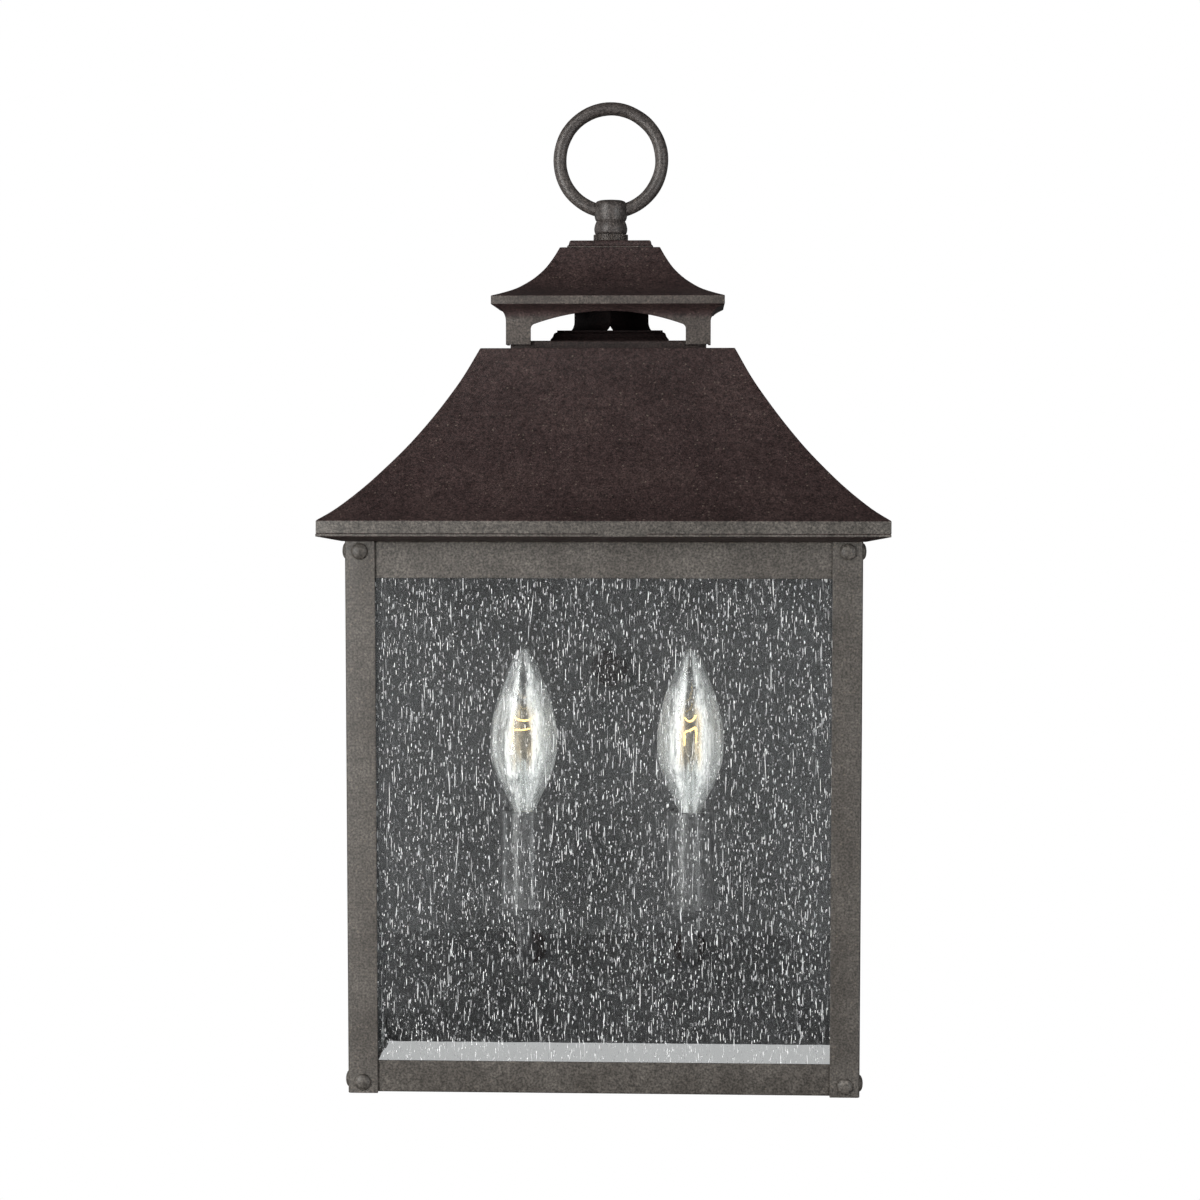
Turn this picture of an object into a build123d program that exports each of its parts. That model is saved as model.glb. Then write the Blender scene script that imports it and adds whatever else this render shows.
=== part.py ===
from build123d import *
import os
from math import sqrt, hypot, cos, sin, pi

# Wall lantern for two candle lamps: a half lantern that stands flat against a wall.
# Millimetres. +Z up, +X to the right as seen from the front, the front looks along -Y
# and the wall is the plane y = 0. All heights below are measured from the foot of the
# frame; every piece is lowered by ORIGIN_Z when it is written, so that the frame's
# origin is the centre of the mounting bar on the wall plane.

os.makedirs("parts", exist_ok=True)

ORIGIN_Z = 193.0

# ---------------------------------------------------------------- driving dimensions
BODY_W = 240.0          # outside width of the framed body
BODY_D = 120.0          # front face of the body to the wall
BODY_H = 260.0          # foot to the underside of the eave tray
T_FRAME = 1.2           # sheet of posts and rails
POST_W = 14.0           # visible width of each post flange
RAIL_TOP_Z = 242.8      # lower edge of the top rails
RAIL_BOT_Z = 15.4       # upper edge of the bottom rails
RAIL_FOOT_Z = 0.4       # the rails stop this much above the foot of the posts
RAIL_LIP = 5.5          # inward flange of the bottom rails, the glass stands on it
RAIL_TOP_LIP = 8.0      # inward flange of the top rails, the eave tray lies on it
GLASS_T = 3.2
GLASS_FIT = 0.2         # gap between glass and rail

EAVE_A = 131.8          # half width of the main eave
FASCIA_Z0 = 262.6       # underside of the eave rim
FASCIA_Z1 = 269.9       # top edge of the fascia
TRAY_T = 1.2
ROOF_T = 1.2
ROOF_TOP_Z = 351.4
# flare of the main roof, half width and height, from the fascia to the flat top
ROOF_FLARE = [(131.8, 269.9), (123.6, 275.2), (113.5, 283.6), (104.9, 291.9),
              (94.5, 303.0), (85.2, 314.5), (76.9, 326.0), (69.2, 337.7), (61.6, 351.4)]

CAP_A = 48.0            # raised plate on the flat top
CAP_Z1 = 355.6
OGEE_Z1 = 361.6
NECK_A = 18.5           # half width of the folded neck at the wall
NECK_T = 0.8
NECK_COVE = 5.5         # radius of the flared foot of the neck
GAL_A = 50.1            # half width of the arched gallery
GAL_T = 1.2
GAL_Z0 = 353.6          # the legs end here, just above the roof
GAL_SPRING_Z = 363.0
GAL_APEX_Z = 369.9
GAL_LEG = 12.2
SMALL_A = 56.9          # half width of the small eave
SMALL_Z0 = 372.9
SMALL_Z1 = 377.1
SMALL_TOP_Z = 402.9
SMALL_FLARE = [(56.9, 377.1), (52.2, 378.6), (46.4, 380.8), (42.4, 383.0), (37.7, 386.3),
               (34.3, 389.4), (31.4, 392.6), (28.5, 396.8), (26.2, 400.7), (25.0, 402.9)]
SMALL_T = 1.2
TOP_PLATE_Z1 = 406.7
FIN_Y = -10.6           # axis of the finial
RING_Z = 447.25          # centre of the ring
RING_R = 25.65          # centre line of the ring
RING_TUBE = 3.3
ROD_R = 3.0
RUN = 0.05              # radial clearance of turning pieces
EASE = 0.05             # radial clearance of fixed shanks in their holes

PAN_Y = -22.0           # front face of the back plate
PAN_T = 1.2
PAN_A = 114.0           # half width of the back plate
BAR_L = 112.0
BAR_H = 22.0
BAR_T = 1.6
SLOT_SPACING = 88.9     # box screws
SLOT_R = 2.3
SLOT_LEN = 12.0
NIPPLE_R = 4.85
NIPPLE_BORE = 3.0
KNOB_R = 9.2

LAMP_X = 40.6
LAMP_Y = -65.0
ARM_Z = 50.0
ARM_R = 4.0
ARM_BORE = 2.75
ARM_BEND = 12.0
SLEEVE_Z0 = 76.4
SLEEVE_Z1 = 126.9
SLEEVE_R = 11.0
SLEEVE_T = 1.2
LAMP_NECK_Z = 124.5     # foot of the lamp's glass
LAMP_BASE_R = 5.95      # candelabra screw base
LAMP_TIP_Z = 206.0
LAMP_R = 16.3

NUMBER_OF_KNURLS = 60


# ---------------------------------------------------------------- helpers
def put(name, shape):
    """Writes one solid, or a list of separate solids, lowered to the frame's origin."""
    down = Pos(0, 0, -ORIGIN_Z)
    if isinstance(shape, list):
        s = Compound([down * p for p in shape])
    else:
        s = down * shape
    export_step(s, f"parts/{name}.step")


def block(x0, x1, y0, y1, z0, z1):
    return Pos((x0 + x1) / 2, (y0 + y1) / 2, (z0 + z1) / 2) * Box(x1 - x0, y1 - y0, z1 - z0)


def rod_z(x, y, z0, z1, r):
    return Pos(x, y, (z0 + z1) / 2) * Cylinder(r, z1 - z0)


def rod_y(x, z, y0, y1, r):
    return Pos(x, (y0 + y1) / 2, z) * Rot(90, 0, 0) * Cylinder(r, y1 - y0)


def rod_x(y, z, x0, x1, r):
    return Pos((x0 + x1) / 2, y, z) * Rot(0, 90, 0) * Cylinder(r, x1 - x0)


def flip(shape):
    return mirror(shape, about=Plane.YZ)


def one(shape):
    """The shape as a single solid."""
    s = shape.solids()
    assert len(s) == 1, len(s)
    return s[0]


def group(shapes):
    return [s if isinstance(s, Solid) else one(s) for s in shapes]


def revolve_z(x, y, pts):
    """A turned body about the vertical axis through (x, y), from (radius, height) points."""
    line = Polyline(*[(r, 0, z) for r, z in pts], close=True)
    return Pos(x, y, 0) * revolve(make_face(line), axis=Axis.Z, revolution_arc=360)


def lift(pts, grow):
    """Points moved square to the line they make, outwards for a positive amount."""
    out = []
    n = len(pts)
    for i, (a, z) in enumerate(pts):
        p, q = pts[max(i - 1, 0)], pts[min(i + 1, n - 1)]
        da, dz = q[0] - p[0], q[1] - p[1]
        k = hypot(da, dz)
        out.append((a + grow * dz / k, z - grow * da / k))
    return out


def hipped(foot, flare, top_z, y_back=0.0):
    """Half of a hipped, curved roof body. foot is the straight lower part and flare the
    curve above it, both (half width, height) from the bottom up. The same curve bounds the
    front and both sides, so the hips are mitred at 45 degrees."""
    big = foot[0][0] + 20
    lo = foot[0][1]

    def curve(sign, axis):
        def p(a, z):
            return (sign * a, 0, z) if axis == "x" else (0, sign * a, z)
        edges = []
        if len(foot) > 1:
            edges += Polyline(*[p(a, z) for a, z in foot]).edges()
        edges += Spline(*[p(a, z) for a, z in flare]).edges()
        if abs(flare[-1][1] - top_z) > 1e-6:
            edges += Line(p(*flare[-1]), p(flare[-1][0], top_z)).edges()
        return edges, p(*foot[0]), p(flare[-1][0], top_z)

    er, fr, tr = curve(1, "x")
    el, fl, tl = curve(-1, "x")
    face_x = make_face(er + el + [Line(fl, fr).edge(), Line(tl, tr).edge()])
    along_y = extrude(face_x, amount=big, dir=(0, -1, 0))
    if y_back > 0:
        along_y = along_y + extrude(face_x, amount=y_back, dir=(0, 1, 0))
    ef, ff, tf = curve(-1, "y")
    back = Polyline(tf, (0, y_back, top_z), (0, y_back, lo), ff).edges()
    face_y = make_face(ef + back)
    along_x = extrude(face_y, amount=big, dir=(1, 0, 0), both=True)
    return along_y & along_x


# ---------------------------------------------------------------- frame of the body
HW = BODY_W / 2
T = T_FRAME


def angle_post(x_out, y_out, leg, t, z0, z1):
    """Angle post, outer corner at (x_out, y_out) with both legs pointing to +X and +Y."""
    pts = [(x_out, y_out), (x_out + leg, y_out), (x_out + leg, y_out + t),
           (x_out + t, y_out + t), (x_out + t, y_out + leg), (x_out, y_out + leg)]
    face = make_face(Polyline(*pts, close=True))
    outer = [v for v in face.vertices() if abs(v.X - x_out) < 1e-6 and abs(v.Y - y_out) < 1e-6]
    inner = [v for v in face.vertices() if abs(v.X - x_out - t) < 1e-6 and abs(v.Y - y_out - t) < 1e-6]
    face = fillet(outer, 1.3)
    inner = [v for v in face.vertices() if abs(v.X - x_out - t) < 1e-6 and abs(v.Y - y_out - t) < 1e-6]
    return Pos(0, 0, z0) * extrude(face, amount=z1 - z0, dir=(0, 0, 1))


# rivet places: middle of the post flange
RIV_IN = 6.9
RIV_Z = (5.3, 255.3)
RIV_SHANK = 2.0
RIV_HOLE = RIV_SHANK + EASE
FRONT_RIV = [(sx * (HW - RIV_IN), z) for sx in (-1, 1) for z in RIV_Z]
SIDE_RIV_Y = (-BODY_D + RIV_IN, -RIV_IN)

post_fl = angle_post(-HW, -BODY_D, POST_W, T, 0.0, BODY_H)
for z in RIV_Z:
    post_fl -= rod_y(-HW + RIV_IN, z, -BODY_D - 2, -BODY_D + 4, RIV_HOLE)
    post_fl -= rod_x(-BODY_D + RIV_IN, z, -HW - 2, -HW + 4, RIV_HOLE)
post_fl = one(post_fl)

# rear post: the same angle turned, its second leg lies on the wall
post_rl = mirror(Pos(0, BODY_D, 0) * angle_post(-HW, -BODY_D, POST_W, T, 0.0, BODY_H), about=Plane.XZ)
for z in RIV_Z:
    post_rl -= rod_x(-RIV_IN, z, -HW - 2, -HW + 4, RIV_HOLE)
BACK_RIV_Z = (30.0, 130.0, 230.0)
BACK_RIV_X = -HW + 3.7
for z in BACK_RIV_Z:
    post_rl -= rod_y(BACK_RIV_X, z, -4, 2, 1.2 + EASE)
post_rl = one(post_rl)

put("post_front_left", post_fl)
put("post_front_right", flip(post_fl))
put("post_rear_left", post_rl)
put("post_rear_right", flip(post_rl))

# rails: each is an angle behind the post flanges
RF = -BODY_D + T            # outer face of the front rails
RS = -HW + T                # outer face of the left rails
END = 0.1


def front_rail(z0, z1, lip_z0, lip_z1, lip):
    leg = block(-(HW - T - END), HW - T - END, RF, RF + T, z0, z1)
    tongue = block(-(HW - T - lip - END), HW - T - lip - END, RF, RF + lip, lip_z0, lip_z1)
    return leg + tongue


def side_rail(z0, z1, lip_z0, lip_z1, lip):
    y0, y1 = RF + T + END, -T - END
    leg = block(RS, RS + T, y0, y1, z0, z1)
    tongue = block(RS, RS + lip, y0, y1, lip_z0, lip_z1)
    return leg + tongue


TRAY_SCREW_FRONT = [(-70.0, RF + 5.4), (0.0, RF + 5.4), (70.0, RF + 5.4)]
TRAY_SCREW_SIDE = [(RS + 5.4, -90.0), (RS + 5.4, -45.0)]
SCREW_R = 1.5
SCREW_HOLE = SCREW_R + EASE

rail_ft = front_rail(RAIL_TOP_Z, BODY_H, BODY_H - T, BODY_H, RAIL_TOP_LIP)
rail_fb = front_rail(RAIL_FOOT_Z, RAIL_BOT_Z, RAIL_FOOT_Z, RAIL_FOOT_Z + T, RAIL_LIP)
for x, z in FRONT_RIV:
    cut = rod_y(x, z, -BODY_D - 2, RF + 4, RIV_HOLE)
    if z > 100:
        rail_ft -= cut
    else:
        rail_fb -= cut
for x, y in TRAY_SCREW_FRONT:
    rail_ft -= rod_z(x, y, BODY_H - 5, BODY_H + 5, SCREW_HOLE)
put("rail_front_top", one(rail_ft))
put("rail_front_bottom", one(rail_fb))

rail_lt = side_rail(RAIL_TOP_Z, BODY_H, BODY_H - T, BODY_H, RAIL_TOP_LIP)
rail_lb = side_rail(RAIL_FOOT_Z, RAIL_BOT_Z, RAIL_FOOT_Z, RAIL_FOOT_Z + T, RAIL_LIP)
# the tongue of the front top rail is longer than the corner leaves, so the side one is cut back
rail_lt -= block(RS + T + 0.001, RS + 20, RF, RF + RAIL_TOP_LIP + END, BODY_H - 3, BODY_H + 1)
rail_lb -= block(RS + T + 0.001, RS + 20, RF, RF + RAIL_LIP + END, RAIL_FOOT_Z - 1, RAIL_FOOT_Z + 3)
# the back plate stands between the side rails' tongues at the wall
rail_lt -= block(RS + T + 0.001, RS + 20, PAN_Y - 0.1, 1, BODY_H - 3, BODY_H + 1)
rail_lb -= block(RS + T + 0.001, RS + 20, PAN_Y - 0.1, 1, RAIL_FOOT_Z - 1, RAIL_FOOT_Z + 3)
for y in SIDE_RIV_Y:
    rail_lt -= rod_x(y, RIV_Z[1], -HW - 2, RS + 4, RIV_HOLE)
    rail_lb -= rod_x(y, RIV_Z[0], -HW - 2, RS + 4, RIV_HOLE)
for x, y in TRAY_SCREW_SIDE:
    rail_lt -= rod_z(x, y, BODY_H - 5, BODY_H + 5, SCREW_HOLE)
put("rail_left_top", one(rail_lt))
put("rail_left_bottom", one(rail_lb))
put("rail_right_top", flip(one(rail_lt)))
put("rail_right_bottom", flip(one(rail_lb)))


# domed rivets: head outside, shank through post and rail, flat tail inside
def rivet():
    """Rivet along +Z: its head stands on z = 0 and its shank goes down."""
    head_r, head_h = 3.9, 1.9
    big = (head_r ** 2 + head_h ** 2) / (2 * head_h)
    dome = (Pos(0, 0, head_h - big) * Sphere(big)) & (Pos(0, 0, 2.5) * Box(20, 20, 5))
    shank = Pos(0, 0, -T) * Cylinder(RIV_SHANK, 2 * T)
    tail = Pos(0, 0, -2 * T - 0.35) * Cylinder(2.9, 0.7)
    return dome + shank + tail


rivets = []
for x, z in FRONT_RIV:
    rivets.append(Pos(x, -BODY_D, z) * Rot(90, 0, 0) * rivet())
for s in (-1, 1):
    for y in SIDE_RIV_Y:
        for z in RIV_Z:
            rivets.append(Pos(s * HW, y, z) * Rot(0, s * 90, 0) * rivet())
put("corner_rivets", group(rivets))

# ---------------------------------------------------------------- glass
GF0 = RF + T + GLASS_FIT        # outer face of the front pane
GS0 = RS + T + GLASS_FIT        # outer face of the left pane
PANE_Z0 = RAIL_FOOT_Z + T + 0.1
PANE_Z1 = 256.4
PANE_HALF = HW - 10.5
pane_front = block(-PANE_HALF, PANE_HALF, GF0, GF0 + GLASS_T, PANE_Z0, PANE_Z1)
pane_left = block(GS0, GS0 + GLASS_T, -BODY_D + 10.5, -10.5, PANE_Z0, PANE_Z1)
put("glass_front", pane_front)
put("glass_left", pane_left)
put("glass_right", flip(pane_left))

# spring clips that hold the panes against the rails
CLIP_T, CLIP_W = 0.8, 9.0


def clip_top():
    """Clip under a top rail's tongue; the rail's outer face is y = 0 and +Y is inwards."""
    y_in = T + GLASS_FIT + GLASS_T
    zt = BODY_H - T
    flat = block(-CLIP_W / 2, CLIP_W / 2, T, y_in + CLIP_T, zt - CLIP_T, zt)
    hook = block(-CLIP_W / 2, CLIP_W / 2, y_in, y_in + CLIP_T, zt - 11.0, zt)
    return flat + hook


def clip_bottom():
    y_in = T + GLASS_FIT + GLASS_T
    zb = RAIL_FOOT_Z + T
    hook = block(-CLIP_W / 2, CLIP_W / 2, y_in, y_in + CLIP_T, zb, zb + 9.0)
    # the foot is turned down over the edge of the tongue
    foot = block(-CLIP_W / 2, CLIP_W / 2, RAIL_LIP, RAIL_LIP + CLIP_T, RAIL_FOOT_Z, zb + CLIP_T)
    bridge = block(-CLIP_W / 2, CLIP_W / 2, y_in, RAIL_LIP + CLIP_T, zb, zb + CLIP_T)
    return hook + foot + bridge


clips = []
for x in (-45.0, 45.0):
    clips.append(Pos(x, RF, 0) * clip_top())
    clips.append(Pos(x, RF, 0) * clip_bottom())
for y in (-80.0, -32.0):
    for c in (clip_top, clip_bottom):
        left = Pos(RS, y, 0) * Rot(0, 0, -90) * c()
        clips.append(left)
        clips.append(flip(left))
put("glass_clips", group(clips))

# ---------------------------------------------------------------- back plate
PZ0, PZ1 = RAIL_FOOT_Z, BODY_H - 0.1
NIP_Z = ORIGIN_Z
pan = block(-PAN_A, PAN_A, PAN_Y, 0.0, PZ0, PZ1)
pan -= block(-PAN_A + PAN_T, PAN_A - PAN_T, PAN_Y + PAN_T, 5.0, PZ0 + PAN_T, PZ1 - PAN_T)
LIP_Y0, LIP_Y1 = -2.4, -1.2
# side flanges end in lips that lie on the rear posts
pan -= block(-PAN_A - 1, -PAN_A + PAN_T, LIP_Y1, 1, PZ0 - 1, PZ1 + 1)
pan -= block(PAN_A - PAN_T, PAN_A + 1, LIP_Y1, 1, PZ0 - 1, PZ1 + 1)
# top and bottom flanges are notched for the posts' legs on the wall
for s in (-1, 1):
    pan -= block(min(s * 105.8, s * 130), max(s * 105.8, s * 130), LIP_Y1, 1, PZ0 - 1, PZ1 + 1)
LIP_Z0, LIP_Z1 = 16.5, 241.8
pan += block(-HW + T + 0.2, -PAN_A + PAN_T, LIP_Y0, LIP_Y1, LIP_Z0, LIP_Z1)
pan += block(PAN_A - PAN_T, HW - T - 0.2, LIP_Y0, LIP_Y1, LIP_Z0, LIP_Z1)
pan -= rod_y(0, NIP_Z, PAN_Y - 2, PAN_Y + 4, NIPPLE_R + 0.3)
for s in (-1, 1):
    pan -= rod_y(s * LAMP_X, ARM_Z, PAN_Y - 2, PAN_Y + 4, ARM_R + EASE)
    for z in BACK_RIV_Z:
        pan -= rod_y(s * -BACK_RIV_X, z, -4, 2, 1.2 + EASE)
put("back_plate", one(pan))

rv = []
for s in (-1, 1):
    for z in BACK_RIV_Z:
        x = s * -BACK_RIV_X
        rv.append(rod_y(x, z, LIP_Y0 - 0.9, LIP_Y0, 1.9) + rod_y(x, z, LIP_Y0, 0.0, 1.2))
put("back_rivets", group(rv))

# ---------------------------------------------------------------- wall hardware
bar = block(-BAR_L / 2, BAR_L / 2, -BAR_T, 0.0, NIP_Z - BAR_H / 2, NIP_Z + BAR_H / 2)
bar = fillet(bar.edges().filter_by(Axis.Y), 5.0)
for s in (-1, 1):
    # stiffening flanges along both long edges
    bar += block(-BAR_L / 2 + 8, BAR_L / 2 - 8, -5.0, -BAR_T + 0.4,
                 NIP_Z + s * (BAR_H / 2 - 0.75) - 0.75, NIP_Z + s * (BAR_H / 2 - 0.75) + 0.75)
for s in (-1, 1):
    slot = extrude(Plane.XZ * SlotOverall(SLOT_LEN, 2 * SLOT_R), amount=10, both=True)
    bar -= Pos(s * SLOT_SPACING / 2, 0, NIP_Z) * slot
bar -= rod_y(0, NIP_Z, -4, 4, NIPPLE_R + EASE)
GROUND_X = 21.0
bar -= rod_y(GROUND_X, NIP_Z, -4, 4, 1.9 + EASE)
put("mounting_bar", one(bar))

nipple = rod_y(0, NIP_Z, PAN_Y - 8.0, -0.2, NIPPLE_R) - rod_y(0, NIP_Z, PAN_Y - 20, 5, NIPPLE_BORE)
put("mounting_nipple", one(nipple))


def hex_nut_y(x, z, y0, y1, flats, bore):
    body = extrude(Plane.XZ * RegularPolygon(flats / 2, 6, major_radius=False), amount=(y1 - y0) / 2, both=True)
    return Pos(x, (y0 + y1) / 2, z) * body - rod_y(x, z, y0 - 1, y1 + 1, bore)


put("nipple_nut", one(hex_nut_y(0, NIP_Z, -5.2, -BAR_T, 14.0, NIPPLE_R + EASE)))

# round knob that screws on the nipple and draws the back plate to the wall
KY0 = PAN_Y - 0.3
prof = [(0, 0.0), (8.2, 0.0), (8.2, 1.6), (7.0, 2.4), (6.4, 4.2)]
knob_line = Polyline(*[(r, 0, h) for r, h in prof])
knob_arc = Spline((6.4, 0, 4.2), (8.4, 0, 6.4), (9.2, 0, 9.6), (8.3, 0, 12.9), (5.2, 0, 15.4), (0, 0, 16.3),
                  tangents=[(0.55, 0, 0.83), (-1, 0, 0)])
knob = revolve(make_face(knob_line.edges() + knob_arc.edges() + [Line((0, 0, 16.3), (0, 0, 0)).edge()]),
               axis=Axis.Z, revolution_arc=360)
knob -= Pos(0, 0, 3.9) * Cylinder(NIPPLE_R + RUN, 9.4)
knob -= Pos(0, 0, -0.5) * Cylinder(NIPPLE_R + RUN, 3.0)
knob = Pos(0, KY0, NIP_Z) * Rot(90, 0, 0) * knob
put("cap_nut", one(knob))

screw = rod_y(GROUND_X, NIP_Z, -BAR_T - 2.4, -BAR_T, 3.6) + rod_y(GROUND_X, NIP_Z, -BAR_T, -0.1, 1.9)
screw -= block(GROUND_X - 0.5, GROUND_X + 0.5, -BAR_T - 3, -BAR_T - 1.4, NIP_Z - 5, NIP_Z + 5)
put("ground_screw", one(screw))

# ---------------------------------------------------------------- eave tray and main roof
# tray: flat over the body, rising to the rim of the eave
tray_foot = [(HW + 1.0, BODY_H), (EAVE_A, FASCIA_Z0)]


def straight_hip(pts, y_back=0.0):
    """Hipped body with straight edges; pts are (half width, height), bottom up."""
    big = max(a for a, _ in pts) + 20
    px = [(a, 0, z) for a, z in pts] + [(-a, 0, z) for a, z in reversed(pts)]
    along_y = extrude(make_face(Polyline(*px, close=True)), amount=big, dir=(0, -1, 0))
    if y_back > 0:
        along_y = along_y + extrude(make_face(Polyline(*px, close=True)), amount=y_back, dir=(0, 1, 0))
    py = [(0, -a, z) for a, z in pts] + [(0, y_back, pts[-1][1]), (0, y_back, pts[0][1])]
    along_x = extrude(make_face(Polyline(*py, close=True)), amount=big, dir=(1, 0, 0), both=True)
    return along_y & along_x


tray = straight_hip(tray_foot + [(EAVE_A, FASCIA_Z0 + TRAY_T)])
SEAT = ROOF_T + 0.6
tray -= straight_hip([(HW + 1.0, BODY_H + TRAY_T), (EAVE_A - SEAT, FASCIA_Z0 + TRAY_T - 0.42),
                      (EAVE_A - SEAT, FASCIA_Z0 + 20)], y_back=5)
VENT_R = 27.0
tray -= rod_z(0, -60.0, BODY_H - 5, BODY_H + 10, VENT_R)
for x, y in TRAY_SCREW_FRONT + TRAY_SCREW_SIDE + [(-x, y) for x, y in TRAY_SCREW_SIDE]:
    tray -= rod_z(x, y, BODY_H - 5, BODY_H + 5, SCREW_HOLE)
put("eave_tray", one(tray))

ts = []
for x, y in TRAY_SCREW_FRONT + TRAY_SCREW_SIDE + [(-x, y) for x, y in TRAY_SCREW_SIDE]:
    head = revolve_z(x, y, [(0, BODY_H - T), (2.6, BODY_H - T), (2.6, BODY_H - T - 0.9),
                            (1.9, BODY_H - T - 1.6), (0, BODY_H - T - 1.9)])
    ts.append(head + rod_z(x, y, BODY_H - T - 0.2, BODY_H + TRAY_T + 3.0, SCREW_R))
put("tray_screws", group(ts))

Z_R0 = FASCIA_Z0 + TRAY_T
roof = hipped([(EAVE_A, Z_R0), (EAVE_A, FASCIA_Z1)], ROOF_FLARE, ROOF_TOP_Z)
inner = lift(ROOF_FLARE, -ROOF_T)
k = (inner[1][1] - inner[0][1]) / (inner[1][0] - inner[0][0])
a_in = EAVE_A - ROOF_T
inner[0] = (a_in, inner[1][1] + k * (a_in - inner[1][0]))
k = (inner[-1][1] - inner[-2][1]) / (inner[-1][0] - inner[-2][0])
z_in = ROOF_TOP_Z - ROOF_T
inner[-1] = (inner[-2][0] + (z_in - inner[-2][1]) / k, z_in)
roof -= hipped([(a_in, Z_R0 - 5), inner[0]], inner, z_in, y_back=5)
VENT_HOLE = (-12.0, 12.0, -20.0, -4.0)
roof -= block(*VENT_HOLE, ROOF_TOP_Z - 5, ROOF_TOP_Z + 5)
CUP_SCREW = [(-21.0, -12.0), (21.0, -12.0)]
for x, y in CUP_SCREW:
    roof -= rod_z(x, y, ROOF_TOP_Z - 5, ROOF_TOP_Z + 5, SCREW_HOLE)
put("main_roof", one(roof))

# ---------------------------------------------------------------- cupola
cap = straight_hip([(CAP_A, ROOF_TOP_Z), (CAP_A, CAP_Z1 - 0.6), (CAP_A - 0.6, CAP_Z1)])
cap -= block(*VENT_HOLE, ROOF_TOP_Z - 5, CAP_Z1 + 5)
for x, y in CUP_SCREW:
    cap -= rod_z(x, y, ROOF_TOP_Z - 5, CAP_Z1 + 5, SCREW_HOLE)
put("roof_cap_plate", one(cap))

ogee = straight_hip([(29.7, CAP_Z1), (29.4, 357.0), (28.8, 357.7), (28.3, 358.4), (28.0, 359.3),
                     (27.8, 359.9), (27.2, 360.4), (26.5, 360.6), (26.3, 360.7), (26.3, OGEE_Z1)])
ogee -= block(*VENT_HOLE, CAP_Z1 - 1, OGEE_Z1 + 1)
for x, y in CUP_SCREW:
    ogee -= rod_z(x, y, CAP_Z1 - 1, 360.1, SCREW_HOLE)
put("neck_base", one(ogee))

cs = []
for x, y in CUP_SCREW:
    zt = ROOF_TOP_Z - ROOF_T
    head = revolve_z(x, y, [(0, zt), (2.9, zt), (2.9, zt - 1.0), (2.1, zt - 1.8), (0, zt - 2.1)])
    cs.append(head + rod_z(x, y, zt - 0.2, 360.0, SCREW_R))
put("cupola_screws", group(cs))

# neck: two folded faces that meet in an edge at the front, open towards the wall; each
# face is flared at its foot, and the flares part at the corner like a keel arch
NECK_TOP = SMALL_Z0 - GAL_T
r0, t0 = NECK_COVE, NECK_T
# section of one leaf in its own frame: x outwards, z up, run along +y
STEPS = 12
outer_pts = [(r0 * (1 - cos(pi / 2 * i / STEPS)), OGEE_Z1 + r0 - r0 * sin(pi / 2 * i / STEPS)) for i in range(STEPS + 1)]
inner_pts = [(r0 - (r0 + t0) * cos(pi / 2 * i / STEPS), OGEE_Z1 + r0 - (r0 + t0) * sin(pi / 2 * i / STEPS)) for i in range(STEPS + 1)]
inner_pts = [(a, max(z, OGEE_Z1)) for a, z in inner_pts]
cut = [p for p in inner_pts if p[1] > OGEE_Z1 + 1e-9]
# where the inner curve reaches the base
xin = r0 - sqrt((r0 + t0) ** 2 - r0 ** 2)
leaf_pts = [(0, NECK_TOP)] + outer_pts[:-1] + [(r0, OGEE_Z1)] + [(xin, OGEE_Z1)] + list(reversed(cut)) + [(-t0, NECK_TOP)]
leaf_face = make_face(Polyline(*[(a, 0, z) for a, z in leaf_pts], close=True))
LEN = (NECK_A + 0.4) * sqrt(2)
leaf = extrude(leaf_face, amount=LEN, dir=(0, 1, 0))
right_leaf = Pos(0, -(NECK_A + 0.4), 0) * Rot(0, 0, -45) * leaf
neck = right_leaf + flip(right_leaf)
neck = neck & block(-60, 60, -60, 0, OGEE_Z1, NECK_TOP)
put("vent_neck", one(neck))

# gallery: coved three-sided skirt with an arch in each side, closed by a plate on top
cove = [(GAL_A, 365.2), (50.3, 366.8), (51.0, 368.8), (52.6, 370.7), (55.5, 372.4), (56.5, SMALL_Z0)]
gal_top = SMALL_Z0
gallery = hipped([(GAL_A, GAL_Z0), (GAL_A, 365.2)], cove, gal_top)
cin = [(GAL_A - GAL_T, 365.4), (GAL_A - GAL_T + 0.2, 367.2), (49.9, 369.2), (51.0, 370.5), (51.8, 371.2), (52.5, 371.7)]
gallery -= hipped([(GAL_A - GAL_T, GAL_Z0 - 3), (GAL_A - GAL_T, 365.4)], cin, gal_top - GAL_T, y_back=5)
span = GAL_A - GAL_LEG
rise = GAL_APEX_Z - GAL_SPRING_Z
arch = make_face(
    ThreePointArc((-span, 0, GAL_SPRING_Z), (0, 0, GAL_APEX_Z), (span, 0, GAL_SPRING_Z)).edges()
    + Polyline((span, 0, GAL_SPRING_Z), (span, 0, GAL_Z0 - 5), (-span, 0, GAL_Z0 - 5), (-span, 0, GAL_SPRING_Z)).edges())
arch_cut = extrude(arch, amount=10, dir=(0, -1, 0))
arch_cut = fillet(arch_cut.edges().filter_by(Axis.Y).filter_by(lambda e: abs(e.center().Z - GAL_SPRING_Z) < 0.1), 2.5)
gallery -= Pos(0, -GAL_A + 5, 0) * arch_cut
side_cut = Rot(0, 0, 90) * arch_cut
for s in (-1, 1):
    gallery -= Pos(s * GAL_A - 5, 0, 0) * side_cut
gallery -= block(-12, 12, -14.0, -4.0, gal_top - 5, gal_top + 2)
put("arched_gallery", one(gallery))

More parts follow.
